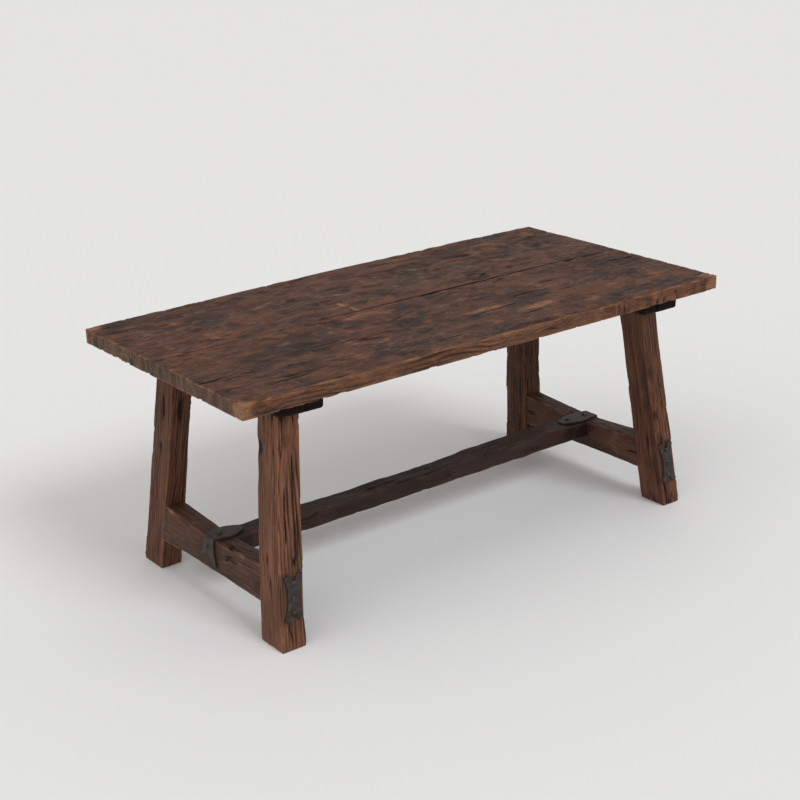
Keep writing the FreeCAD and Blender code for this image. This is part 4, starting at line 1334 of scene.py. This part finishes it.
        sections = []
        for share in np.linspace(0.0, 1.0, self.stations):
            place = np.clip(first + (last - first) * share, first + SKIN, last - SKIN)
            crest = solid.section(1, place)[1][2]
            corners = np.empty((2, 2, 3))
            haunch = self.rail_haunch * ease(share, 0.72, 1.0)
            for up, height in enumerate((bottom - haunch, crest)):
                low, high = box_at(height)
                along = embedded_place(low[1], high[1], share)
                for across, side in enumerate((high[0], low[0])):
                    corners[across, up] = (side, along, height)
            sections.append(corners)
        return Timber(
            node, sections, seed, (self.end_hewing, self.rail_hewing, self.rail_hewing),
            roundings=self.rail_roundings, cell=self.rail_cell, rusty_seats=(f"strap_{end.word}",),
            pith=(0.04, 0.10), ring_pitch=0.0050, ring_sway=0.008,
        )

    def long_stretcher(self, seed: int) -> Timber:
        """The long stretcher, from one end stretcher to the other."""
        node = "long_stretcher"
        solid = Solid(node)
        bottom, top = solid.low[2], solid.high[2]
        boxes = [solid.section(2, level) for level in (bottom + SKIN, top - SKIN)]
        sections = []
        for share in np.linspace(0.0, 1.0, self.stations):
            corners = np.empty((2, 2, 3))
            swell = self.beam_swell * (ease(share, 0.48, 0.70) * ease(share, 0.97, 0.84))
            for up, height in enumerate((bottom, top + swell)):
                low, high = boxes[up]
                along = embedded_place(low[0], high[0], share)
                for across, side in enumerate((solid.low[1], solid.high[1])):
                    corners[across, up] = (along, side, height)
            sections.append(corners)
        return Timber(
            node, sections, seed, (self.end_hewing, self.beam_hewing, self.beam_hewing),
            roundings=self.beam_roundings, rusty_seats=("strap_left", "strap_right"),
            pith=(0.01, -0.04),
        )

    def batten(self, end: End, seed: int) -> Timber:
        """A cross batten under the planks."""
        node = f"batten_{end.word}"
        low, high = (np.array(corner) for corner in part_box(node))
        sections = []
        for place in np.linspace(low[1], high[1], self.stations):
            station_low, station_high = low.copy(), high.copy()
            station_low[1] = station_high[1] = place
            sections.append(box_section(station_low, station_high, Grain.CROSSWISE))
        return Timber(
            node, sections, seed, (self.batten_hewing,) * 3, roundings=self.batten_roundings,
            cell=self.batten_cell, seats=("plank_front", "plank_back"),
        )

    def build(self) -> None:
        """Makes every wooden piece under the top."""
        leg_finishes = {
            (End.LEFT, Row.FRONT): self.near_leg_finish,
            (End.RIGHT, Row.BACK): self.far_leg_finish,
        }
        beam = self.long_stretcher(self.beam_seed)
        timbers = [(beam, self.stretcher_finish, "stretcher_wood")]
        for number, end in enumerate(End):
            batten = self.batten(end, self.batten_seed + number)
            rail = self.end_stretcher(end, self.rail_seed + number)
            timbers.append((batten, self.batten_finish, "batten_wood"))
            timbers.append((rail, self.rail_finish, "rail_wood"))
            for row in Row:
                leg = self.leg(end, row, self.leg_seed + 2 * number + (row is Row.BACK))
                finish = leg_finishes.get((end, row), self.leg_finish)
                timbers.append((leg, finish, "leg_wood"))
        for timber, finish, slot in timbers:
            self.pieces[timber.node] = timber.build()
            self.finishes[timber.node] = (finish, slot)

    def dress(self) -> None:
        """Finishes every wooden piece, the wedges and the screws."""
        woods = {finish.name: finish for finish, _ in self.finishes.values()}
        materials = {name: finish.material() for name, finish in woods.items()}
        for node, piece in self.pieces.items():
            finish, slot = self.finishes[node]
            set_in_place(piece, node, materials[finish.name])
        wedge_material = self.wedge_finish.material()
        screw_material = self.screw_finish.material()
        for end in End:
            dress_node(f"leg_wedges_{end.word}", wedge_material)
            dress_node(f"batten_screws_{end.word}", screw_material)


@dataclass
class Ironwork:
    """Straps, butterfly plates and their nails, hammered out of their solids."""

    plate_finish: Iron
    strap_finish: Iron
    nail_finish: Iron
    voxel: float = 0.0009
    nail_voxel: float = 0.0006
    hammer: Pair = (0.012, 0.0004)
    grit: Pair = (0.003, 0.0001)
    first_seed: int = 70
    smoothing: int = 2
    pieces: dict[str, bpy.types.Object] = field(default_factory=dict)

    def forge(self, node: str, voxel: float, seed: int) -> bpy.types.Object:
        """A soft-edged, hammered mesh in the form of a solid.

        Args:
            node: the solid's node.
            voxel: the size of the new mesh's faces.
            seed: sets the hammer marks.

        Returns:
            The piece.
        """
        blank = bpy.data.objects.new(f"forged_{node}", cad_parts[node].data.copy())
        bpy.context.scene.collection.objects.link(blank)
        remesh = blank.modifiers.new("Remesh", "REMESH")
        remesh.mode = "VOXEL"
        remesh.voxel_size = voxel
        smooth = blank.modifiers.new("Smooth", "SMOOTH")
        smooth.iterations = self.smoothing
        evaluated = blank.evaluated_get(bpy.context.evaluated_depsgraph_get())
        mesh = bpy.data.meshes.new_from_object(evaluated)
        blank.modifiers.clear()
        blank.data = mesh
        noise = Noise(seed)
        points = read_vectors(mesh, "co")
        normals = read_vectors(mesh, "normal")
        depth = np.zeros(len(points))
        for size, deepest in (self.hammer, self.grit):
            depth += deepest * (0.5 + 0.5 * np.clip(noise.layered(points / size, 2), -1, 1))
        points -= normals * depth[:, None]
        mesh.vertices.foreach_set("co", points.ravel())
        mesh.shade_smooth()
        mesh.update()
        return blank

    def build(self) -> None:
        """Forges every iron piece."""
        nodes = [f"strap_{end.word}" for end in End]
        for end in End:
            nodes += [f"strap_nails_{end.word}", f"tail_nail_{end.word}"]
            for row in Row:
                corner = f"{row.word}_{end.word}"
                nodes += [f"leg_plate_{corner}", f"plate_nails_{corner}"]
        for seed, node in enumerate(nodes, start=self.first_seed):
            voxel = self.nail_voxel if "nail" in node else self.voxel
            self.pieces[node] = self.forge(node, voxel, seed)

    def dress(self) -> None:
        """Finishes every iron piece."""
        finishes = (self.plate_finish, self.strap_finish, self.nail_finish)
        plate, strap, nail = (finish.material() for finish in finishes)
        for node, piece in self.pieces.items():
            if "nail" in node:
                set_in_place(piece, node, nail)
            else:
                set_in_place(piece, node, strap if "strap" in node else plate)


@dataclass(frozen=True)
class Lamp:
    """A far lamp that shines towards the table.

    place is a point in the direction that its light comes from, spread how wide it looks from
    the table in degrees, and strength its light on a face square to it.
    """

    name: str
    place: Triple
    spread: float
    strength: float
    colour: Colour = (1.0, 1.0, 1.0)

    def hang(self) -> None:
        """Adds the lamp to the scene."""
        light = bpy.data.lights.new(self.name, "SUN")
        light.angle = math.radians(self.spread)
        light.energy = self.strength
        light.color = self.colour
        lamp = bpy.data.objects.new(self.name, light)
        lamp.rotation_euler = (-Vector(self.place)).to_track_quat("-Z", "Y").to_euler()
        bpy.context.scene.collection.objects.link(lamp)


@dataclass(frozen=True)
class Studio:
    """The pale floor, the soft light and the camera."""

    floor_reach: float = 40.0
    floor_colour: Colour = (0.84, 0.84, 0.84)
    sky_strength: float = 0.56
    sky_colour: Colour = (1.0, 0.975, 0.945)
    lamps: tuple[Lamp, ...] = (
        Lamp("key", (0.5, -3.0, 2.9), 24.0, 1.2, (0.97, 1.0, 1.04)),
        Lamp("fill", (-3.0, -0.8, 1.4), 80.0, 1.0),
    )
    camera_place: Triple = (-1.8338, -2.3930, 1.3956)
    camera_yaw: float = 36.99
    camera_pitch: float = 20.21
    camera_roll: float = -1.64
    camera_lens: float = 70.07
    camera_sensor: float = 36.0
    camera_reach: float = 200.0

    def lay_floor(self) -> None:
        """A level floor that reaches past everything the camera sees."""
        corners = self.floor_reach * np.array([[-1, -1, 0], [1, -1, 0], [1, 1, 0], [-1, 1, 0]])
        floor = make_mesh_object("floor", corners, np.array([[0, 1, 2, 3]]))
        recipe = Recipe("pale_floor")
        floor.data.materials.append(recipe.surface(Base_Color=self.floor_colour, Roughness=0.7))

    def light(self) -> None:
        """A pale sky all round, a soft lamp from the front right and a softer one from the left."""
        world = bpy.data.worlds.new("sky")
        bpy.context.scene.world = world
        world.use_nodes = True
        background = world.node_tree.nodes["Background"]
        background.inputs["Color"].default_value = (*self.sky_colour, 1.0)
        background.inputs["Strength"].default_value = self.sky_strength
        for lamp in self.lamps:
            lamp.hang()

    def place_camera(self) -> None:
        """The camera at the photograph's viewing angle."""
        yaw, pitch, roll = (
            math.radians(angle) for angle in (self.camera_yaw, self.camera_pitch, self.camera_roll)
        )
        forward = Vector((
            math.sin(yaw) * math.cos(pitch), math.cos(yaw) * math.cos(pitch), -math.sin(pitch)
        ))
        level = Vector((math.cos(yaw), -math.sin(yaw), 0.0))
        upright = level.cross(forward)
        right = math.cos(roll) * level + math.sin(roll) * upright
        up = -math.sin(roll) * level + math.cos(roll) * upright
        data = bpy.data.cameras.new("camera")
        data.sensor_width = self.camera_sensor
        data.lens = self.camera_lens
        data.clip_end = self.camera_reach
        camera = bpy.data.objects.new("camera", data)
        turn = Matrix((right, up, -forward)).transposed().to_4x4()
        camera.matrix_world = Matrix.Translation(self.camera_place) @ turn
        bpy.context.scene.collection.objects.link(camera)
        bpy.context.scene.camera = camera


def main() -> None:
    """Builds and dresses the table, then sets up the studio."""
    logging.basicConfig(level=logging.INFO, format="%(message)s")
    peg_finish = PlainWood("peg_wood")
    top_finish = Wood("top_wood", ring_share=0.16, streak=(0.045, 0.022), streak_share=0.38,
                      streak_edge=(0.50, 0.61), sway=(0.09, 0.022), fibre=(0.020, 0.009),
                      flake=(0.026, 0.009), flake_edge=(0.46, 0.56), hollow_share=0.54,
                      hollow_edge=(0.45, 0.78), line_share=0.85, relief=0.0017, layer=0.22,
                      fibre_edge=(0.53, 0.61), fibre_share=0.5, wear_share=0.7)
    top = Top(finish=top_finish, peg_finish=peg_finish)
    leg_finish = Wood("leg_wood", base=(0.132, 0.051, 0.027), light=(0.20, 0.088, 0.048),
                      dark=(0.060, 0.024, 0.014), wear_share=0.3, line_share=0.42, ring=0.0035,
                      streak=(0.14, 0.007), streak_share=0.4)
    trestles = Trestles(
        leg_finish=leg_finish,
        # The near leg's lighter copy of the leg finish: partly its own tone, partly painted light.
        near_leg_finish=replace(leg_finish, name="near_leg_wood", base=(0.186, 0.077, 0.041),
                                light=(0.26, 0.120, 0.066), dark=(0.096, 0.040, 0.022),
                                line_share=0.50, streak=(0.14, 0.006)),
        # A darker copy of the leg finish that paints the shade on the far back leg.
        far_leg_finish=replace(leg_finish, name="far_leg_wood", base=(0.094, 0.036, 0.019),
                               light=(0.145, 0.062, 0.033), dark=(0.044, 0.017, 0.010)),
        rail_finish=Wood("rail_wood", base=(0.096, 0.043, 0.027), light=(0.150, 0.072, 0.046),
                         dark=(0.048, 0.024, 0.017), wear_share=0.55, line_share=0.42,
                         streak=(0.10, 0.006), streak_share=0.3, hollow_share=0.35),
        stretcher_finish=Wood("stretcher_wood", base=(0.040, 0.020, 0.0165), wear_share=0.15,
                              light=(0.054, 0.028, 0.023), dark=(0.019, 0.0105, 0.009),
                              red=(0.06, 0.025, 0.018), streak_share=0.3, ring_share=0.25),
        # Dark wood, made darker still as painted shade under the top.
        batten_finish=Wood("batten_wood", base=(0.013, 0.0065, 0.0045),
                           dark=(0.007, 0.004, 0.003), light=(0.022, 0.011, 0.007),
                           red=(0.03, 0.012, 0.008), end_grain=(0.013, 0.007, 0.005),
                           wear_share=0.05, specular=0.05),
        wedge_finish=peg_finish,
        screw_finish=Iron("screw_steel", scale=(0.30, 0.29, 0.28), rubbed=(0.42, 0.41, 0.40),
                          rust=(0.2, 0.16, 0.13), metallic=1.0, roughness=0.4),
    )
    ironwork = Ironwork(
        plate_finish=Iron("forged_iron"),
        strap_finish=Iron("strap_iron", scale=(0.024, 0.0165, 0.0135), rubbed=(0.046, 0.035, 0.030),
                          rust=(0.052, 0.028, 0.019)),
        # The nails' lighter rubbed colour is partly worn iron and partly a painted glint.
        nail_finish=Iron("nail_iron", rubbed=(0.078, 0.064, 0.056), metallic=0.5, roughness=0.42),
    )
    for assembly in (top, trestles, ironwork):
        assembly.build()
        assembly.dress()
    studio = Studio()
    studio.lay_floor()
    studio.light()
    studio.place_camera()
    bpy.context.scene.view_settings.view_transform = "Standard"


if __name__ == "__main__":
    main()
